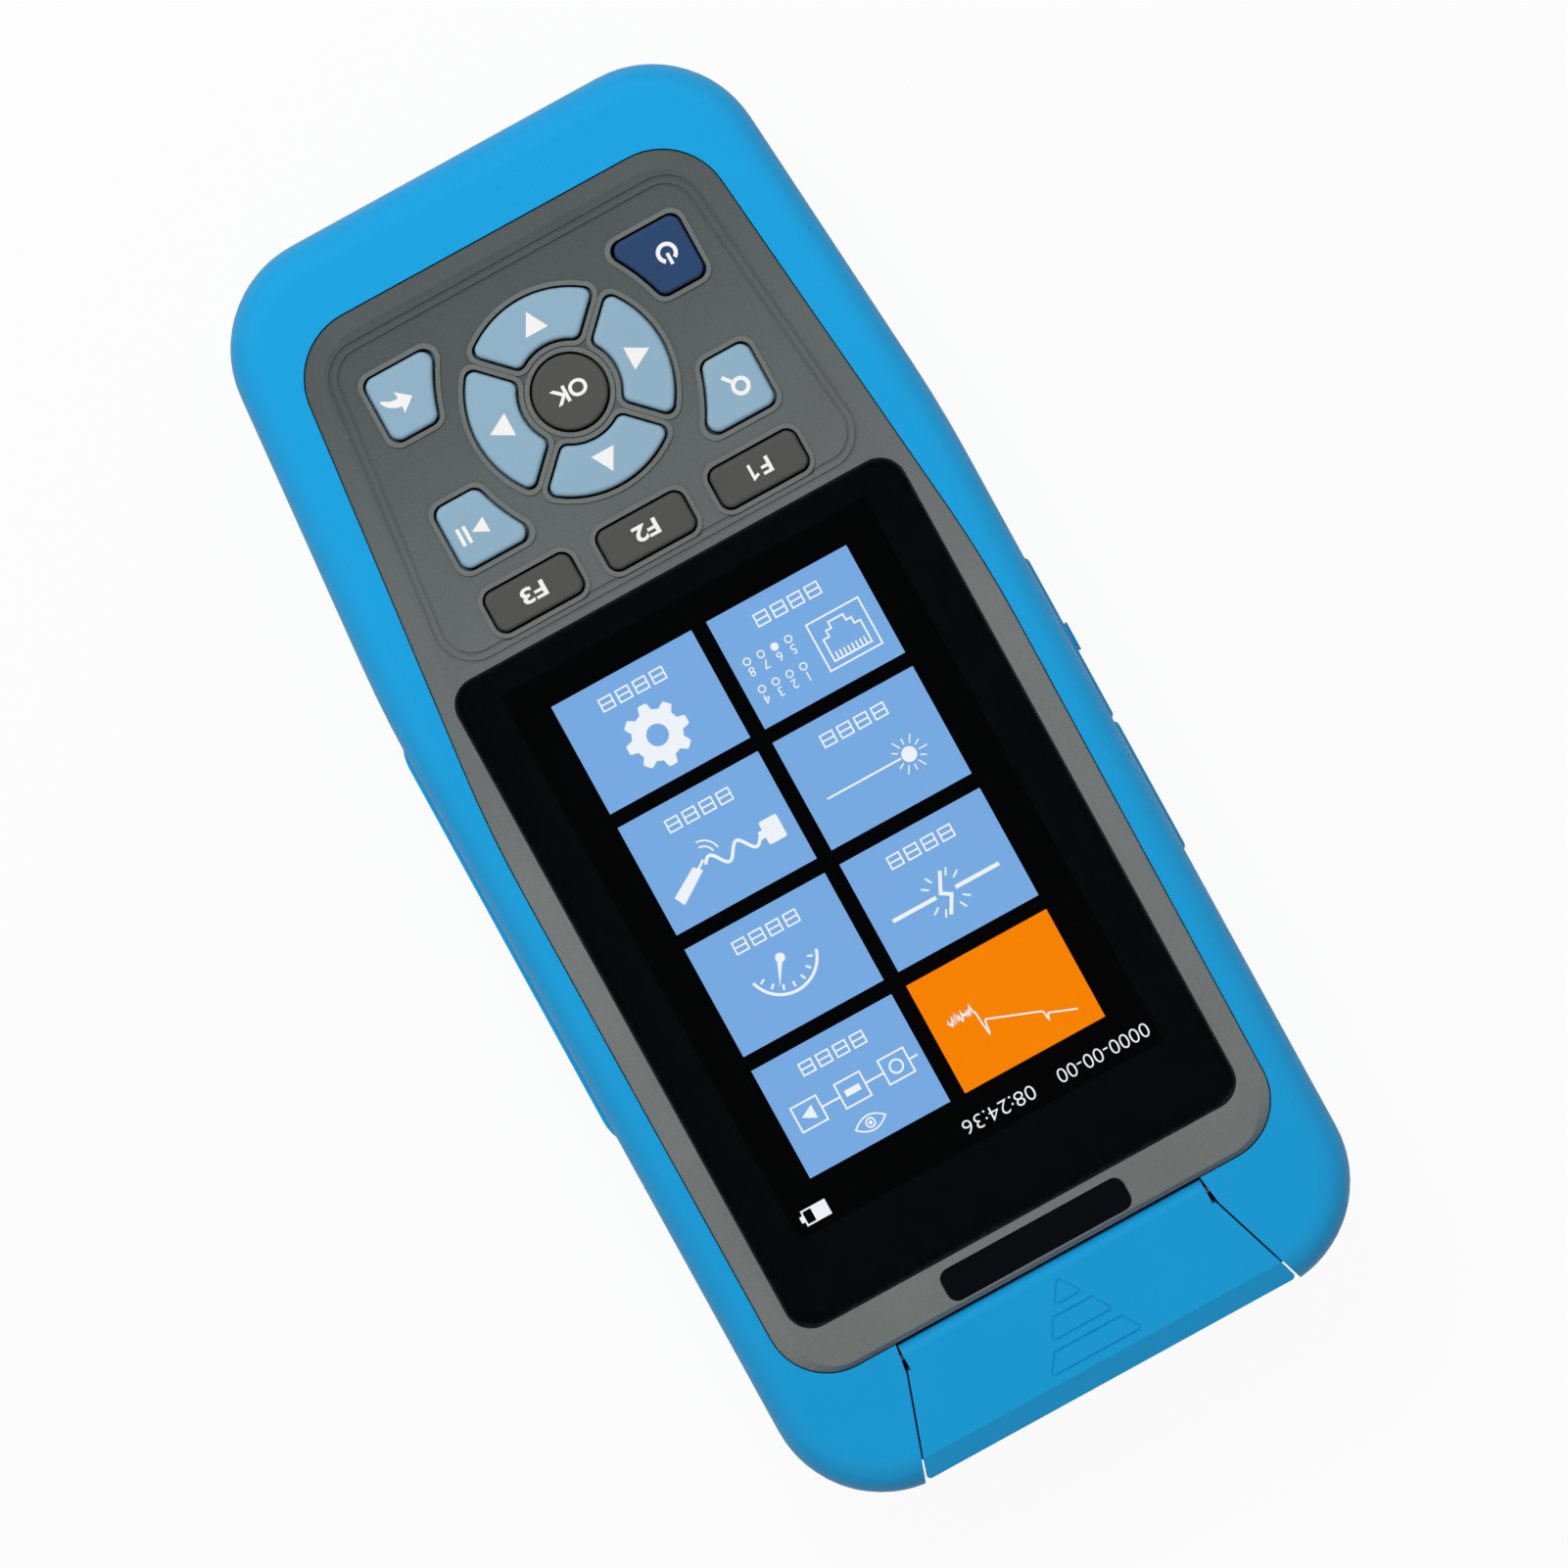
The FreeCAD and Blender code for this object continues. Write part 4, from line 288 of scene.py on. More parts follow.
# %% Board lacquer
board = bpy.data.materials.new("board_lacquer")
board.use_nodes = True
tree = board.node_tree
shader = tree.nodes["Principled BSDF"]
where = add(tree, "TexCoord").outputs["Object"]
tracks = add(tree, "TexBrick", {"Vector": where, "Scale": 260.0, "Mortar Size": 0.06, "Brick Width": 1.1,
                                "Row Height": 0.32, "Color1": colour(16, 84, 52),
                                "Color2": colour(13, 74, 46), "Mortar": colour(44, 128, 82)}, offset=0.37)
tree.links.new(tracks.outputs["Color"], shader.inputs["Base Color"])
bump = add(tree, "Bump", {"Height": tracks.outputs["Fac"], "Distance": 0.00003})
tree.links.new(bump.outputs["Normal"], shader.inputs["Normal"])
shader.inputs["Roughness"].default_value = 0.3
FINISHES["board_green"] = board

# %% [markdown]
# ## Battery film and fibre
#
# The battery is wrapped in shrink film, which is glossy and a little wrinkled. The pigtail is a few
# turns of coated fibre, so its solid ring gets fine windings as bump: a wave that repeats about every
# half millimetre along the height.

# %% Film and windings
film = moulded("battery_film", (28, 84, 142), 0.3, 0.0025, 0.00012, 0.08, 0.0, {"Coat Weight": 0.4})
FINISHES["battery_wrap"] = film
windings = moulded("fibre_coating", (226, 196, 52), 0.35, 0.0004, 0.00001)
tree = windings.node_tree
where = add(tree, "TexCoord").outputs["Object"]
turns = add(tree, "TexWave", {"Vector": where, "Scale": 640.0}, bands_direction="Z")
bump = add(tree, "Bump", {"Height": turns.outputs["Fac"], "Distance": 0.0001})
tree.links.new(bump.outputs["Normal"], tree.nodes["Principled BSDF"].inputs["Normal"])
FINISHES["fibre_yellow"] = windings

# %% [markdown]
# ## The display module
#
# It is one solid: a tin frame with the panel standing out of it. The real panel is covered by a
# black polarising film, so the finish changes with height. Above the frame's front it is black,
# below it is drawn tin. The Z of the object coordinates is all that it needs.

# %% Display module: tin below, black film above
module = metal("display_module", (188, 190, 192), 0.35, (12.0, 1.0, 12.0), 0.000004)
tree = module.node_tree
shader = tree.nodes["Principled BSDF"]
where = add(tree, "TexCoord").outputs["Object"]
level = add(tree, "SeparateXYZ", {"Vector": where}).outputs["Z"]
panel_thick = 1.5 * MM
frame_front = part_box("lcd_module")[1].z - panel_thick
film_mask = add(tree, "Math", {0: level, 1: frame_front}, operation="GREATER_THAN").outputs[0]
tin = shader.inputs["Base Color"].links[0].from_socket
mixed = add(tree, "Mix", data_type="RGBA")
tree.links.new(film_mask, mixed.inputs["Factor"])
tree.links.new(tin, mixed.inputs["A"])
mixed.inputs["B"].default_value = (0.004, 0.0044, 0.0058, 1.0)
tree.links.new(mixed.outputs["Result"], shader.inputs["Base Color"])
tinned = add(tree, "Math", {0: 1.0, 1: film_mask}, operation="SUBTRACT").outputs[0]
tree.links.new(tinned, shader.inputs["Metallic"])
shader.inputs["Specular IOR Level"].default_value = 0.0
FINISHES["display_metal"] = module
print("black film above z =", round(frame_front / MM, 2), "mm")

# %% [markdown]
# ## Window glass
#
# The real window is clear glass with a black border printed on its back. Making the glass black
# would be simpler, but then the picture would have to lie on top of it. So the solid is left clear,
# the border becomes a thin sheet under it, and the picture lies deeper still, on the display.

# %% Glass
glass = bpy.data.materials.new("window_glass")
glass.use_nodes = True
shader = glass.node_tree.nodes["Principled BSDF"]
shader.inputs["Base Color"].default_value = (0.97, 0.985, 0.98, 1.0)
shader.inputs["Transmission Weight"].default_value = 1.0
shader.inputs["IOR"].default_value = 1.5
smears = add(glass.node_tree, "Group", node_tree=grain)
smears.inputs["Size"].default_value = 0.02
smears.inputs["Roughness"].default_value = 0.02
smears.inputs["Spread"].default_value = 0.03
glass.node_tree.links.new(smears.outputs["Roughness"], shader.inputs["Roughness"])
FINISHES["window_black"] = glass

# %% [markdown]
# ## Dressing the solids
#
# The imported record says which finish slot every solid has. Each solid's material slots are filled
# from the table above, so no solid can be forgotten: a missing finish would stop the script here.

# %% Fill every slot
slot_of = {part["node"]: part["material_slot"] for part in frame["record"]["subparts"]}
for name, node in frame["nodes"].items():
    for place in node.material_slots:
        place.material = FINISHES[slot_of[name]]
print("dressed:", len(slot_of), "solids with", len(FINISHES), "finishes")

# %% [markdown]
# ## Flat shapes in millimetres
#
# Legends, the printed border and the picture are all flat shapes with a little thickness. Two
# functions make them. A plate is an outline with a top, a bottom and a wall. A ribbon is a band of
# constant width that follows a path. Both work on whole arrays of points, and both return points in
# millimetres with their faces, so that shapes can be moved, turned and put together before they
# become a mesh.

# %% Plate and ribbon
def plate(outline, low, high):
    """A closed outline, anticlockwise, at two heights: a top, a bottom and one wall face per side."""
    outline = np.asarray(outline, float)
    count = len(outline)
    points = np.vstack([np.column_stack([outline, np.full(count, level)]) for level in (high, low)])
    here = np.arange(count)
    onward = (here + 1) % count
    walls = np.column_stack([here, count + here, count + onward, onward]).tolist()
    return points, [here.tolist(), (count + here[::-1]).tolist()] + walls


def ribbon(path, width, low, high, closed=False):
    """At every point of the path, half the width is laid off to both sides along the normal, which is
    the mean of the two neighbouring sides' normals, lengthened so that the band keeps its width."""
    path = np.asarray(path, float)
    step = np.roll(path, -1, 0) - path if closed else np.diff(path, axis=0)
    step = step / np.linalg.norm(step, axis=1)[:, None]
    across = np.column_stack([-step[:, 1], step[:, 0]])
    before = np.roll(across, 1, 0) if closed else np.vstack([across[:1], across])
    after = across if closed else np.vstack([across, across[-1:]])
    normal = before + after
    normal = normal / np.linalg.norm(normal, axis=1)[:, None]
    reach = (width / 2 / np.clip((normal * after).sum(1), 0.5, 1))[:, None]
    count = len(path)
    edges = ((path + normal * reach, low), (path + normal * reach, high),
             (path - normal * reach, high), (path - normal * reach, low))
    points = np.vstack([np.column_stack([side, np.full(count, level)]) for side, level in edges])
    here = np.arange(count if closed else count - 1)
    onward = (here + 1) % count
    faces = []
    for row in range(4):
        near, far = row * count, (row + 1) % 4 * count
        faces += np.column_stack([near + here, far + here, far + onward, near + onward]).tolist()
    if not closed:
        first = np.array([3, 2, 1, 0]) * count
        faces += [first.tolist(), (first[::-1] + count - 1).tolist()]
    return points, faces


# %% [markdown]
# ## Outlines
#
# A circle, a rounded rectangle and a gear are each one formula of an angle. The gear's radius
# follows a wave of the angle with its tops and bottoms cut off, which gives teeth with sloping
# sides.

# %% Outline formulas
def circle(radius, x=0.0, y=0.0, sides=48, first=0.0, sweep=360.0):
    """The points at one distance from a centre, at evenly spread angles; a part turn keeps both ends."""
    angle = np.radians(first + np.linspace(0, sweep, sides, endpoint=sweep < 360))
    return np.column_stack([x + radius * np.cos(angle), y + radius * np.sin(angle)])


def box_outline(x_low, y_low, x_high, y_high, radius=0.0, sides=6):
    """A rectangle; each corner is a quarter turn about a centre that lies one radius inside it."""
    corners = ((x_high, y_high, 0), (x_low, y_high, 90), (x_low, y_low, 180), (x_high, y_low, 270))
    if not radius:
        return np.array([corner[:2] for corner in corners])
    middle = np.array([(x_low + x_high) / 2, (y_low + y_high) / 2])
    rounds = [circle(radius, x + radius * np.sign(middle[0] - x), y + radius * np.sign(middle[1] - y),
                     sides, turn, 90) for x, y, turn in corners]
    return np.vstack(rounds)


def gear_outline(teeth, outer, inner, x, y):
    """The radius swings between two values with the cosine of teeth times the angle, cut off flat."""
    angle = np.linspace(0, 2 * np.pi, teeth * 24, endpoint=False)
    wave = np.clip(np.cos(teeth * angle) * 2.2, -1, 1)
    radius = (outer + inner) / 2 + wave * (outer - inner) / 2
    return np.column_stack([x + radius * np.cos(angle), y + radius * np.sin(angle)])


def moved(shapes, x, y):
    """The same shapes, moved."""
    return [(points + [x, y, 0.0], faces) for points, faces in shapes]


def together(shapes):
    """Several shapes as one: their points stacked, and each one's faces counted on from the last."""
    faces = []
    start = 0
    for points, sides in shapes:
        faces += [[start + corner for corner in side] for side in sides]
        start += len(points)
    return np.vstack([points for points, sides in shapes]), faces


# %% [markdown]
# ## Pieces
#
# A finished piece is a mesh in metres whose object stays at the origin, as the solids' objects do.
# It rides on one of the frame's bodies: a legend rides on its own key, so it goes down with it.

# %% Make a piece
def piece(name, shapes, finish, body):
    """Shapes in millimetres become one mesh in metres, which rides on a body."""
    points, faces = together(shapes)
    mesh = bpy.data.meshes.new(name)
    mesh.from_pydata((points * MM).tolist(), [], faces)
    mesh.update()
    mesh.materials.append(finish)
    made = bpy.data.objects.new(name, mesh)
    bpy.context.scene.collection.objects.link(made)
    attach(made, body)
    print(name, "on", body, "with", len(faces), "faces")
    return made


# %% [markdown]
# ## Lettering
#
# Digits and the few plain legends of the keys are set in Blender's own font. A text object could be
# scaled and moved as it is, but a finished piece has to sit at the origin, so the text is made a
# mesh first, and its points are then fitted to the height and the centre that are asked for.

# %% Lettering
def lettering(words, centre, height, low, high, weight=0.0, width=None):
    """Text as a mesh, scaled so that it has the height asked for, and moved so that its box's middle
    is at the centre; its front and back faces are put at the two levels."""
    curve = bpy.data.curves.new("letters", "FONT")
    curve.body = words
    curve.offset = weight
    curve.extrude = 0.1
    curve.resolution_u = 4
    holder = bpy.data.objects.new("letters", curve)
    bpy.context.scene.collection.objects.link(holder)
    bpy.context.view_layer.update()
    seen = holder.evaluated_get(bpy.context.evaluated_depsgraph_get())
    mesh = bpy.data.meshes.new_from_object(seen)
    points = np.empty(len(mesh.vertices) * 3)
    mesh.vertices.foreach_get("co", points)
    points = points.reshape(-1, 3)
    faces = [list(face.vertices) for face in mesh.polygons]
    bpy.data.objects.remove(holder)
    bpy.data.curves.remove(curve)
    bpy.data.meshes.remove(mesh)
    lowest, highest = points.min(0), points.max(0)
    scale = np.full(2, height / (highest[1] - lowest[1]))
    if width:
        scale[0] = width / (highest[0] - lowest[0])
    points[:, :2] = (points[:, :2] - (lowest[:2] + highest[:2]) / 2) * scale + centre
    points[:, 2] = np.where(points[:, 2] > 0, high, low)
    return points, faces


# %% [markdown]
# ## The printed border
#
# The border is screen-printed on the back of the glass, in black ink. Here it is a thin sheet with a
# window in it, just under the glass. A ribbon has one width all round, and the border is wider at its
# ends, so the sheet is made from two outlines with the same number of points, joined point to point.

# %% Border under the glass
glass_low, glass_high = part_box("display_window")
picture_y = 13.15
picture_half = np.array([24.48, 36.72])


def frame_sheet(outer, inner, low, high):
    """Two outlines with equally many points, at two levels: quads join outer to inner above and
    below, and walls close both edges."""
    count = len(outer)
    rings = ((outer, low), (outer, high), (inner, high), (inner, low))
    points = np.vstack([np.column_stack([ring, np.full(count, level)]) for ring, level in rings])
    here = np.arange(count)
    onward = (here + 1) % count
    faces = []
    for row in range(4):
        near, far = row * count, (row + 1) % 4 * count
        faces += np.column_stack([near + here, near + onward, far + onward, far + here]).tolist()
    return points, faces


ink = moulded("border_ink", (27, 29, 36), 0.6, 0.0008, 0.000004, 0.05, 0.0, {"Specular IOR Level": 0.0})
under_glass = glass_low.z / MM
inset = 0.1
outer = box_outline(glass_low.x / MM + inset, glass_low.y / MM + inset, glass_high.x / MM - inset,
                    glass_high.y / MM - inset, 3.2)
opening = picture_half + 0.15
inner = box_outline(-opening[0], picture_y - opening[1], opening[0], picture_y + opening[1], 0.3)
piece("window_border", [frame_sheet(outer, inner, under_glass - 0.06, under_glass - 0.02)], ink, "housing")

# %% [markdown]
# ## The lit picture
#
# A lit display gives off light, so its finish is a black surface with an emission of the colour
# that is seen. The menu has two columns of four tiles. Each tile carries a plain pictogram of its
# task, drawn here from simple shapes. Under it, a row of four small blocks stands for a caption,
# apart from the chosen tile, whose trace fills it.

# %% Picture levels and finishes
def lit(name, shown):
    """A surface that gives off one colour."""
    finish = bpy.data.materials.new(name)
    finish.use_nodes = True
    shader = finish.node_tree.nodes["Principled BSDF"]
    shader.inputs["Base Color"].default_value = (0.0, 0.0, 0.0, 1.0)
    shader.inputs["Roughness"].default_value = 1.0
    shader.inputs["Specular IOR Level"].default_value = 0.0
    shade = add(finish.node_tree, "Group", node_tree=tone)
    shade.inputs["Colour"].default_value = colour(*shown)
    shade.inputs["Amount"].default_value = 0.02
    finish.node_tree.links.new(shade.outputs["Colour"], shader.inputs["Emission Color"])
    shader.inputs["Emission Strength"].default_value = 1.08
    return finish


panel_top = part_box("lcd_module")[1].z / MM
tile_low, tile_high = panel_top, panel_top + 0.03
sign_low, sign_high = tile_high, tile_high + 0.02
column_x = (-10.5, 10.5)
row_y = (23.75, 7.3, -9.2, -25.6)
tile_half = (9.5, 7.28)
print("picture at z =", round(panel_top, 2), "mm, under glass from", round(under_glass, 2), "mm")

# %% Tiles
tiles = [plate(box_outline(x - tile_half[0], y - tile_half[1], x + tile_half[0], y + tile_half[1]),
               tile_low, tile_high) for y in row_y for x in column_x]
piece("screen_tile_chosen", moved(tiles[:1], 0, picture_y), lit("tile_orange", (250, 131, 0)), "housing")
piece("screen_tiles", moved(tiles[1:], 0, picture_y), lit("tile_blue", (121, 171, 227)), "housing")

# %% [markdown]
# ## Pictograms
#
# Each one is a short list of plates and ribbons about the middle of its tile. The trace is a
# falling line with two reflections and a noisy end: a straight slope plus two narrow bell curves,
# with seeded noise after the last one, so that every run gives the same line.

# %% Helpers for signs
def line(path, width=0.24, closed=False):
    return ribbon(path, width, sign_low, sign_high, closed)


def patch(outline):
    return plate(outline, sign_low, sign_high)


def ring(radius, x, y, width=0.24):
    return line(circle(radius, x, y), width, closed=True)


def caption():
    """Four equal outlined blocks in a row, each with a bar, near the foot of the tile."""
    middles = (-3.45, -1.15, 1.15, 3.45)
    return ([line(box_outline(x - 0.8, -5.25, x + 0.8, -3.75), 0.2, closed=True) for x in middles]
            + [line([(x - 0.7, -4.5), (x + 0.7, -4.5)], 0.2) for x in middles])


# %% Trace and event chain
def trace_sign():
    """Height falls in proportion to distance, and two bell curves stand for reflections."""
    along = np.linspace(-7.1, 7.3, 150)
    slope = 4.9 - 0.38 * (along + 7.1) - 0.3 * (along > -3.4)
    spikes = 0.9 * np.exp(-((along + 3.5) / 0.13) ** 2) + 2.0 * np.exp(-((along - 3.5) / 0.17) ** 2)
    noise = np.random.default_rng(4).uniform(-0.75, 0.65, along.size)
    return [line(np.column_stack([along, np.where(along < 3.75, slope + spikes, -1.0 + noise)]), 0.2)]


def chain_sign():
    """An eye over three boxes on a line; each lid of the eye is a parabola."""
    across = np.linspace(-2.0, 2.0, 24)
    lid = 0.95 * (1 - (across / 2.0) ** 2)
    eye = np.vstack([np.column_stack([across, lid]), np.column_stack([across[-2:0:-1], -lid[-2:0:-1]])])
    shapes = moved([line(eye, 0.2, closed=True), ring(0.55, 0, 0, 0.2), patch(circle(0.25))], 0, 4.9)
    for x in (-5.9, 0.0, 5.9):
        shapes.append(line(box_outline(x - 1.7, -1.1, x + 1.7, 2.1), 0.22, closed=True))
    between = ((-8.8, -7.6), (-4.2, -1.7), (1.7, 4.2))
    shapes += [line([(x_from, 0.5), (x_to, 0.5)]) for x_from, x_to in between]
    shapes += [ring(0.8, -5.9, 0.5), patch(box_outline(-1.0, 0.1, 1.0, 0.9)),
               patch([(5.2, -0.4), (6.9, 0.5), (5.2, 1.4)])]
    return shapes + caption()


# %% Fault spot and power dial
def fault_sign():
    """A fibre broken in two, with a zigzag through the break and short rays round it."""
    shapes = [line([(-7.2, 1.7), (-1.3, 1.7)], 0.5), line([(1.3, 1.7), (7.2, 1.7)], 0.5)]
    shapes.append(line([(0.7, 4.3), (-0.5, 2.2), (0.6, 1.5), (-0.6, -0.9)], 0.45))
    for turn in (35, 62, 118, 145, 215, 242, 298, 325):
        way = np.array([math.cos(math.radians(turn)), math.sin(math.radians(turn))])
        shapes.append(line([way * 2.0 + [0, 1.7], way * 3.0 + [0, 1.7]], 0.22))
    return shapes + caption()


def dial_sign():
    """An arc with seven ticks at even angles, and a needle."""
    shapes = [line(circle(4.4, 0, -1.0, 40, 15, 150), 0.36)]
    for turn in np.linspace(25, 155, 7):
        way = np.array([math.cos(math.radians(turn)), math.sin(math.radians(turn))])
        shapes.append(line([way * 3.2 + [0, -1.0], way * 3.9 + [0, -1.0]], 0.26))
    shapes += [patch([(-0.35, -1.0), (0.35, -1.2), (1.7, 2.1)]), patch(circle(0.6, 0, -1.0))]
    return shapes + caption()


# %% Light source and cable finder
def source_sign():
    """A disc with eleven short rays at even angles, and one long beam in the twelfth place."""
    middle = np.array([-4.1, 1.7])
    shapes = [patch(circle(0.95, *middle)), line([(-3.0, 1.7), (7.0, 1.7)])]
    for turn in range(30, 360, 30):
        way = np.array([math.cos(math.radians(turn)), math.sin(math.radians(turn))])
        far = 2.1 + 0.3 * (turn % 60 == 0)
        shapes.append(line([way * 1.3 + middle, way * far + middle], 0.16))
    return shapes + caption()


def finder_sign():
    """A plug, a cable that is one wave, and a probe held to it."""
    along = np.linspace(-4.9, 2.4, 40)
    wave = 1.7 + 0.9 * np.sin((along + 4.9) * 1.7)
    shapes = [patch(box_outline(-7.8, 0.2, -5.4, 3.2, 0.3)), patch(box_outline(-5.4, 1.2, -4.8, 2.2)),
              line(np.column_stack([along, wave]), 0.4)]
    shapes += [patch([(3.0, 2.0), (3.9, 1.1), (7.6, 3.3), (6.9, 4.6)]),
               line([(3.4, 1.6), (2.4, 0.9)], 0.3), line(circle(1.4, 2.2, 0.8, 12, 190, 80), 0.2),
               line(circle(2.1, 2.2, 0.8, 12, 190, 80), 0.2)]
    return shapes + caption()


# %% Socket test and settings
def socket_sign():
    """A socket seen from the front with its contacts, and eight numbered lamps, one of them lit."""
    shapes = [line(box_outline(-7.7, -1.2, -0.7, 5.0), 0.22, closed=True)]
    right = np.array([(-1.7, 4.2), (-1.7, 1.3), (-2.5, 1.3), (-2.5, 0.5), (-3.2, 0.5), (-3.2, -0.3)])
    left = np.column_stack([-8.4 - right[::-1, 0], right[::-1, 1]])
    shapes.append(line(np.vstack([left, right]), 0.22, closed=True))
    shapes += [line([(x, 4.1), (x, 3.2)], 0.2) for x in np.linspace(-6.1, -2.3, 8)]
    for number in range(8):
        x, y = 1.9 + 1.87 * (number % 4), (2.9, -0.8)[number // 4]
        shapes.append(patch(circle(0.5, x, y, 20)) if number == 5 else ring(0.42, x, y, 0.16))
        shapes.append(lettering(str(number + 1), (x, y + 1.35), 1.15, sign_low, sign_high))
    return shapes + caption()


def settings_sign():
    """A gear with a round hole, joined point to point."""
    rim = gear_outline(8, 4.0, 3.1, 0, 1.7)
    hole = circle(1.35, 0, 1.7, len(rim))
    return [frame_sheet(rim, hole, sign_low, sign_high)] + caption()


# %% Place the signs on the tiles
signs = (trace_sign, chain_sign, fault_sign, dial_sign,
         source_sign, finder_sign, socket_sign, settings_sign)
shapes = []
for number, sign in enumerate(signs):
    shapes += moved(sign(), column_x[number % 2], row_y[number // 2] + picture_y)
white_light = lit("sign_white", (240, 244, 250))
piece("screen_signs", shapes, white_light, "housing")

# %% [markdown]
# ## The status line
#
# Above the tiles runs a line with an unset date, a clock and the battery's charge. The digits are
# plain numbers, and the battery is an outline with a filled part.

# %% Status line
status = [lettering("0000-00-00", (-17.7, 34.7), 1.75, tile_low, tile_high, -0.012, 12.2),
          lettering("08:24:36", (-3.6, 34.7), 1.75, tile_low, tile_high, -0.012, 9.6)]
status += [ribbon(box_outline(19.8, 34.0, 22.9, 35.8), 0.2, tile_low, tile_high, closed=True),
           plate(box_outline(23.0, 34.5, 23.4, 35.3), tile_low, tile_high),
           plate(box_outline(19.8, 34.0, 21.7, 35.8), tile_low, tile_high)]
piece("screen_status", moved(status, 0, picture_y), white_light, "housing")

# %% [markdown]
# ## Key legends
#
# The legends are printed on the caps in near-white ink. As thin plates they cast a hair of shadow
# and stay sharp at any zoom, which a texture wouldn't. Every legend is drawn in the plane of its cap
# and rides on the cap's body.

# %% Legend finish and place
key_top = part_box("key_ok")[1].z / MM
legend_low, legend_high = key_top - 0.02, key_top + 0.015
legend_ink = moulded("legend_ink", (232, 232, 230), 0.45, 0.0003, 0.000006, 0.03)
ring_y = -51.35


def legend(key, shapes):
    """One key's legend; it rides on the key's own body."""
    return piece("legend_" + key[4:], shapes, legend_ink, key)


def stroke(path, width, closed=False):
    return ribbon(path, width, legend_low, legend_high, closed)


def shape(outline):
    return plate(outline, legend_low, legend_high)


# %% Arrow legends
triangle = np.array([(-1.5, 8.05), (1.5, 8.05), (0.0, 10.75)])
for key, turn in (("key_up", 0), ("key_left", 90), ("key_down", 180), ("key_right", 270)):
    turned = np.radians(turn)
    spin = np.array([(math.cos(turned), math.sin(turned)), (-math.sin(turned), math.cos(turned))])
    legend(key, [shape(triangle @ spin + [0, ring_y])])

# %% Legends of the corner keys
zoom_x, zoom_y = -18.1, -42.2
legend("key_zoom", [stroke(circle(0.92, zoom_x, zoom_y), 0.5, closed=True),
                    stroke([(zoom_x + 0.73, zoom_y - 0.87), (zoom_x + 1.58, zoom_y - 1.9)], 0.46)])
play_x, play_y = 18.1, -42.35
legend("key_play", [shape([(play_x - 1.9, play_y - 1.0), (play_x + 0.05, play_y),
                           (play_x - 1.9, play_y + 1.0)]),
                    shape(box_outline(play_x + 0.45, play_y - 1.1, play_x + 0.9, play_y + 1.1)),
                    shape(box_outline(play_x + 1.3, play_y - 1.1, play_x + 1.75, play_y + 1.1))])
power_x, power_y = -18.0, -60.2
legend("key_power", [stroke(circle(1.06, power_x, power_y, 40, 124, 292), 0.5),
                     stroke([(power_x, power_y + 1.5), (power_x, power_y + 0.05)], 0.42)])
back_x, back_y = 18.5, -59.9
bend_radius, bend_x, bend_y = 2.48, back_x - 0.3, back_y - 2.48
bend = circle(bend_radius, bend_x, bend_y, 14, 90, -57)
sweep_in = 0.54 * np.sqrt(np.linspace(1, 0.01, 14))[:, None]
outward = (bend - [bend_x, bend_y]) / bend_radius
outer_side, inner_side = bend + outward * sweep_in, bend - outward * sweep_in
arrow = np.vstack([[(back_x - 1.95, back_y), (back_x - 0.2, back_y - 1.4)], inner_side, outer_side[::-1],
                   [(back_x - 0.2, back_y + 1.4)]])
legend("key_back", [shape(arrow)])

# %% Legends with letters
legend("key_ok", [lettering("OK", (0, ring_y), 2.1, legend_low, legend_high, 0.025, 4.5)])
function_y = -32.55
legend("key_f1", [lettering("F", (-16.15, function_y), 2.0, legend_low, legend_high, 0.025, 1.3),
                  stroke([(-14.95, -32.05), (-14.25, -31.75), (-14.25, -33.55)], 0.36)])
for number, x in ((2, 0), (3, 15.2)):
    words = lettering(f"F{number}", (x, function_y), 2.0, legend_low, legend_high, 0.025, 3.2)
    legend(f"key_f{number}", [words])

# %% [markdown]
# ## Studio
#
# The floor is a plain pale sheet. Seen by the camera, in gloss or through glass, it is white of its
# own colour and keeps a trace of the shadow. The sky is brightest halfway up, dimmer towards the
# horizon and dark overhead, as a photographer hangs a black card over a glossy screen, so the window
# shows black and not a grey haze. One soft lamp, high and towards the keypad's end, makes that end a
# little brighter. Gloss and glass don't show the lamp itself: the window's bevel would carry it as a
# white line, and the grey face as a milky sheen.

# %% Floor
floor_mesh = bpy.data.meshes.new("floor")
reach = 3.0
floor_mesh.from_pydata([(-reach, -reach, -0.0001), (reach, -reach, -0.0001), (reach, reach, -0.0001),
                        (-reach, reach, -0.0001)], [], [(0, 1, 2, 3)])
floor = bpy.data.objects.new("floor", floor_mesh)
bpy.context.scene.collection.objects.link(floor)
sheet = bpy.data.materials.new("floor_sheet")
sheet.use_nodes = True
tree = sheet.node_tree
tree.nodes.clear()
path = add(tree, "LightPath")
seen = add(tree, "Math", {0: path.outputs["Is Camera Ray"], 1: path.outputs["Is Glossy Ray"]},
           operation="MAXIMUM")
seen = add(tree, "Math", {0: seen.outputs[0], 1: path.outputs["Is Transmission Ray"]}, operation="MAXIMUM")
share = add(tree, "Math", {0: seen.outputs[0], 1: 0.94}, operation="MULTIPLY")
pale = add(tree, "BsdfDiffuse", {"Color": (0.62, 0.62, 0.62, 1.0)})
white = add(tree, "Emission", {"Color": (1.0, 1.0, 1.0, 1.0), "Strength": 1.0})
mixed = add(tree, "MixShader", {0: share.outputs[0], 1: pale.outputs[0], 2: white.outputs[0]})
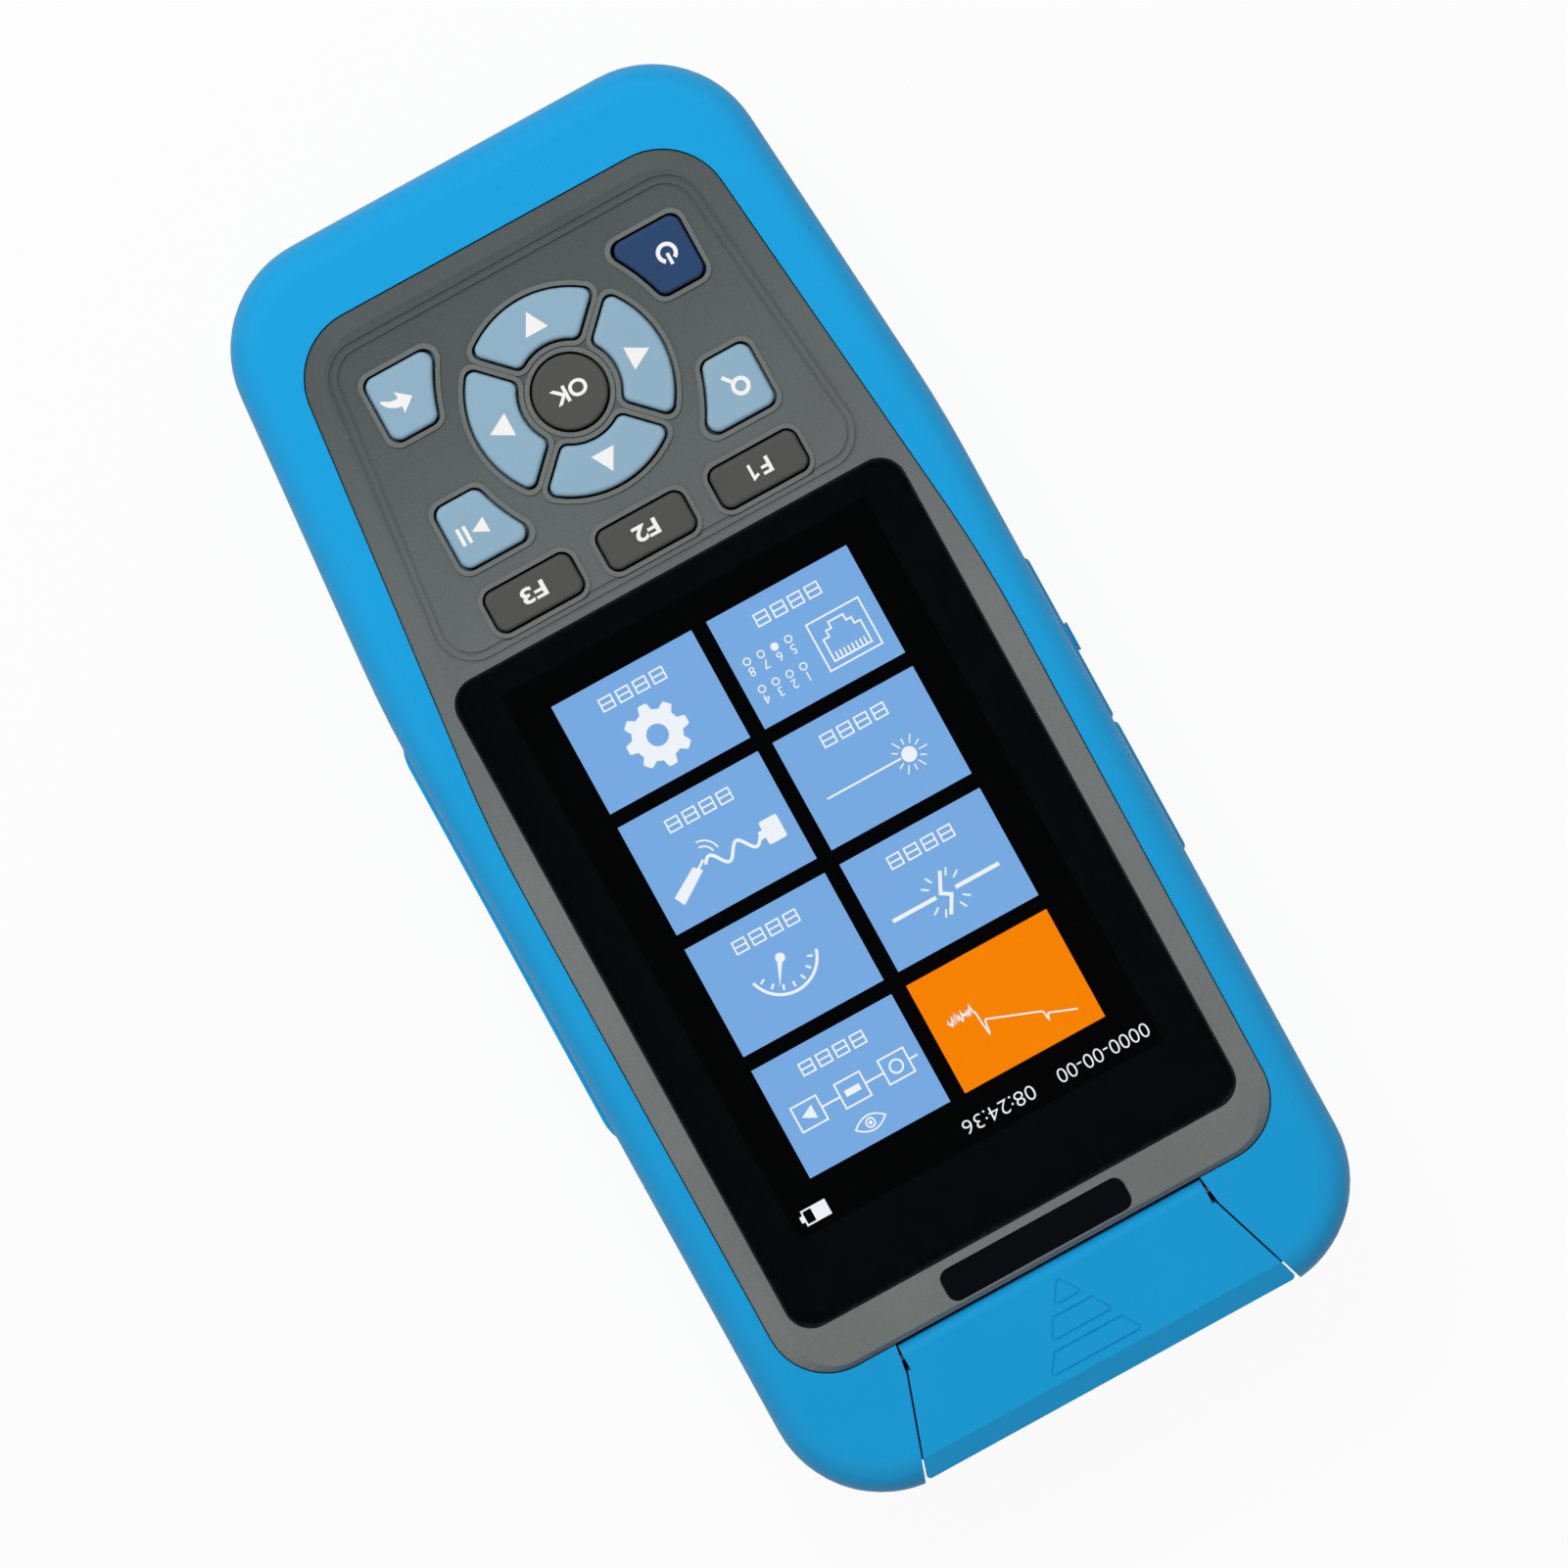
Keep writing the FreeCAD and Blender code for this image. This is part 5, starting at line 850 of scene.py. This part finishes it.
tree.links.new(mixed.outputs[0], add(tree, "OutputMaterial").inputs["Surface"])
floor_mesh.materials.append(sheet)

# %% Sky and lamp
world = bpy.data.worlds.new("studio")
bpy.context.scene.world = world
world.use_nodes = True
tree = world.node_tree
sky = tree.nodes["Background"]
direction = add(tree, "TexCoord").outputs["Generated"]
upward = add(tree, "SeparateXYZ", {"Vector": direction}).outputs["Z"]
strength = add(tree, "MapRange", {"Value": upward, "From Min": 0.78, "From Max": 0.97, "To Min": 1.0,
                                  "To Max": 0.02}, interpolation_type="SMOOTHSTEP")
low_sky = add(tree, "MapRange", {"Value": upward, "From Min": 0.0, "From Max": 0.75, "To Min": 0.12,
                                 "To Max": 0.62})
both = add(tree, "Math", {0: strength.outputs["Result"], 1: low_sky.outputs["Result"]},
           operation="MULTIPLY")
sky.inputs["Color"].default_value = (1.0, 1.0, 1.0, 1.0)
tree.links.new(both.outputs[0], sky.inputs["Strength"])
lamp = bpy.data.lights.new("softbox", "AREA")
lamp.size = 0.2
lamp.energy = 2.0
softbox = bpy.data.objects.new("softbox", lamp)
bpy.context.scene.collection.objects.link(softbox)
softbox.location = (0.03, -0.2, 0.5)
softbox.visible_transmission = False
softbox.visible_glossy = False
softbox.rotation_euler = (-softbox.location).to_track_quat("-Z", "Y").to_euler()

# %% [markdown]
# ## Camera
#
# The instrument was photographed from straight above, lying askew, from a good distance, so that
# its sides hardly show. The camera looks straight down, turned by the angle that its long side has
# in the picture. The lens follows from the distance and from how much of the plane of the glass
# the picture is wide.

# %% Camera
distance = 0.68
picture_width = 0.186
camera_data = bpy.data.cameras.new("camera")
camera_data.sensor_width = 36.0
camera_data.lens = 36.0 * distance / picture_width
camera_data.clip_end = 20.0
camera = bpy.data.objects.new("camera", camera_data)
bpy.context.scene.collection.objects.link(camera)
camera.location = (0.15 * MM, 1.6 * MM, 34.7 * MM + distance)
camera.rotation_euler = (0.0, 0.0, math.radians(151.2))
bpy.context.scene.camera = camera
bpy.context.scene.view_settings.view_transform = "Standard"
print("lens:", round(camera_data.lens, 1), "mm")
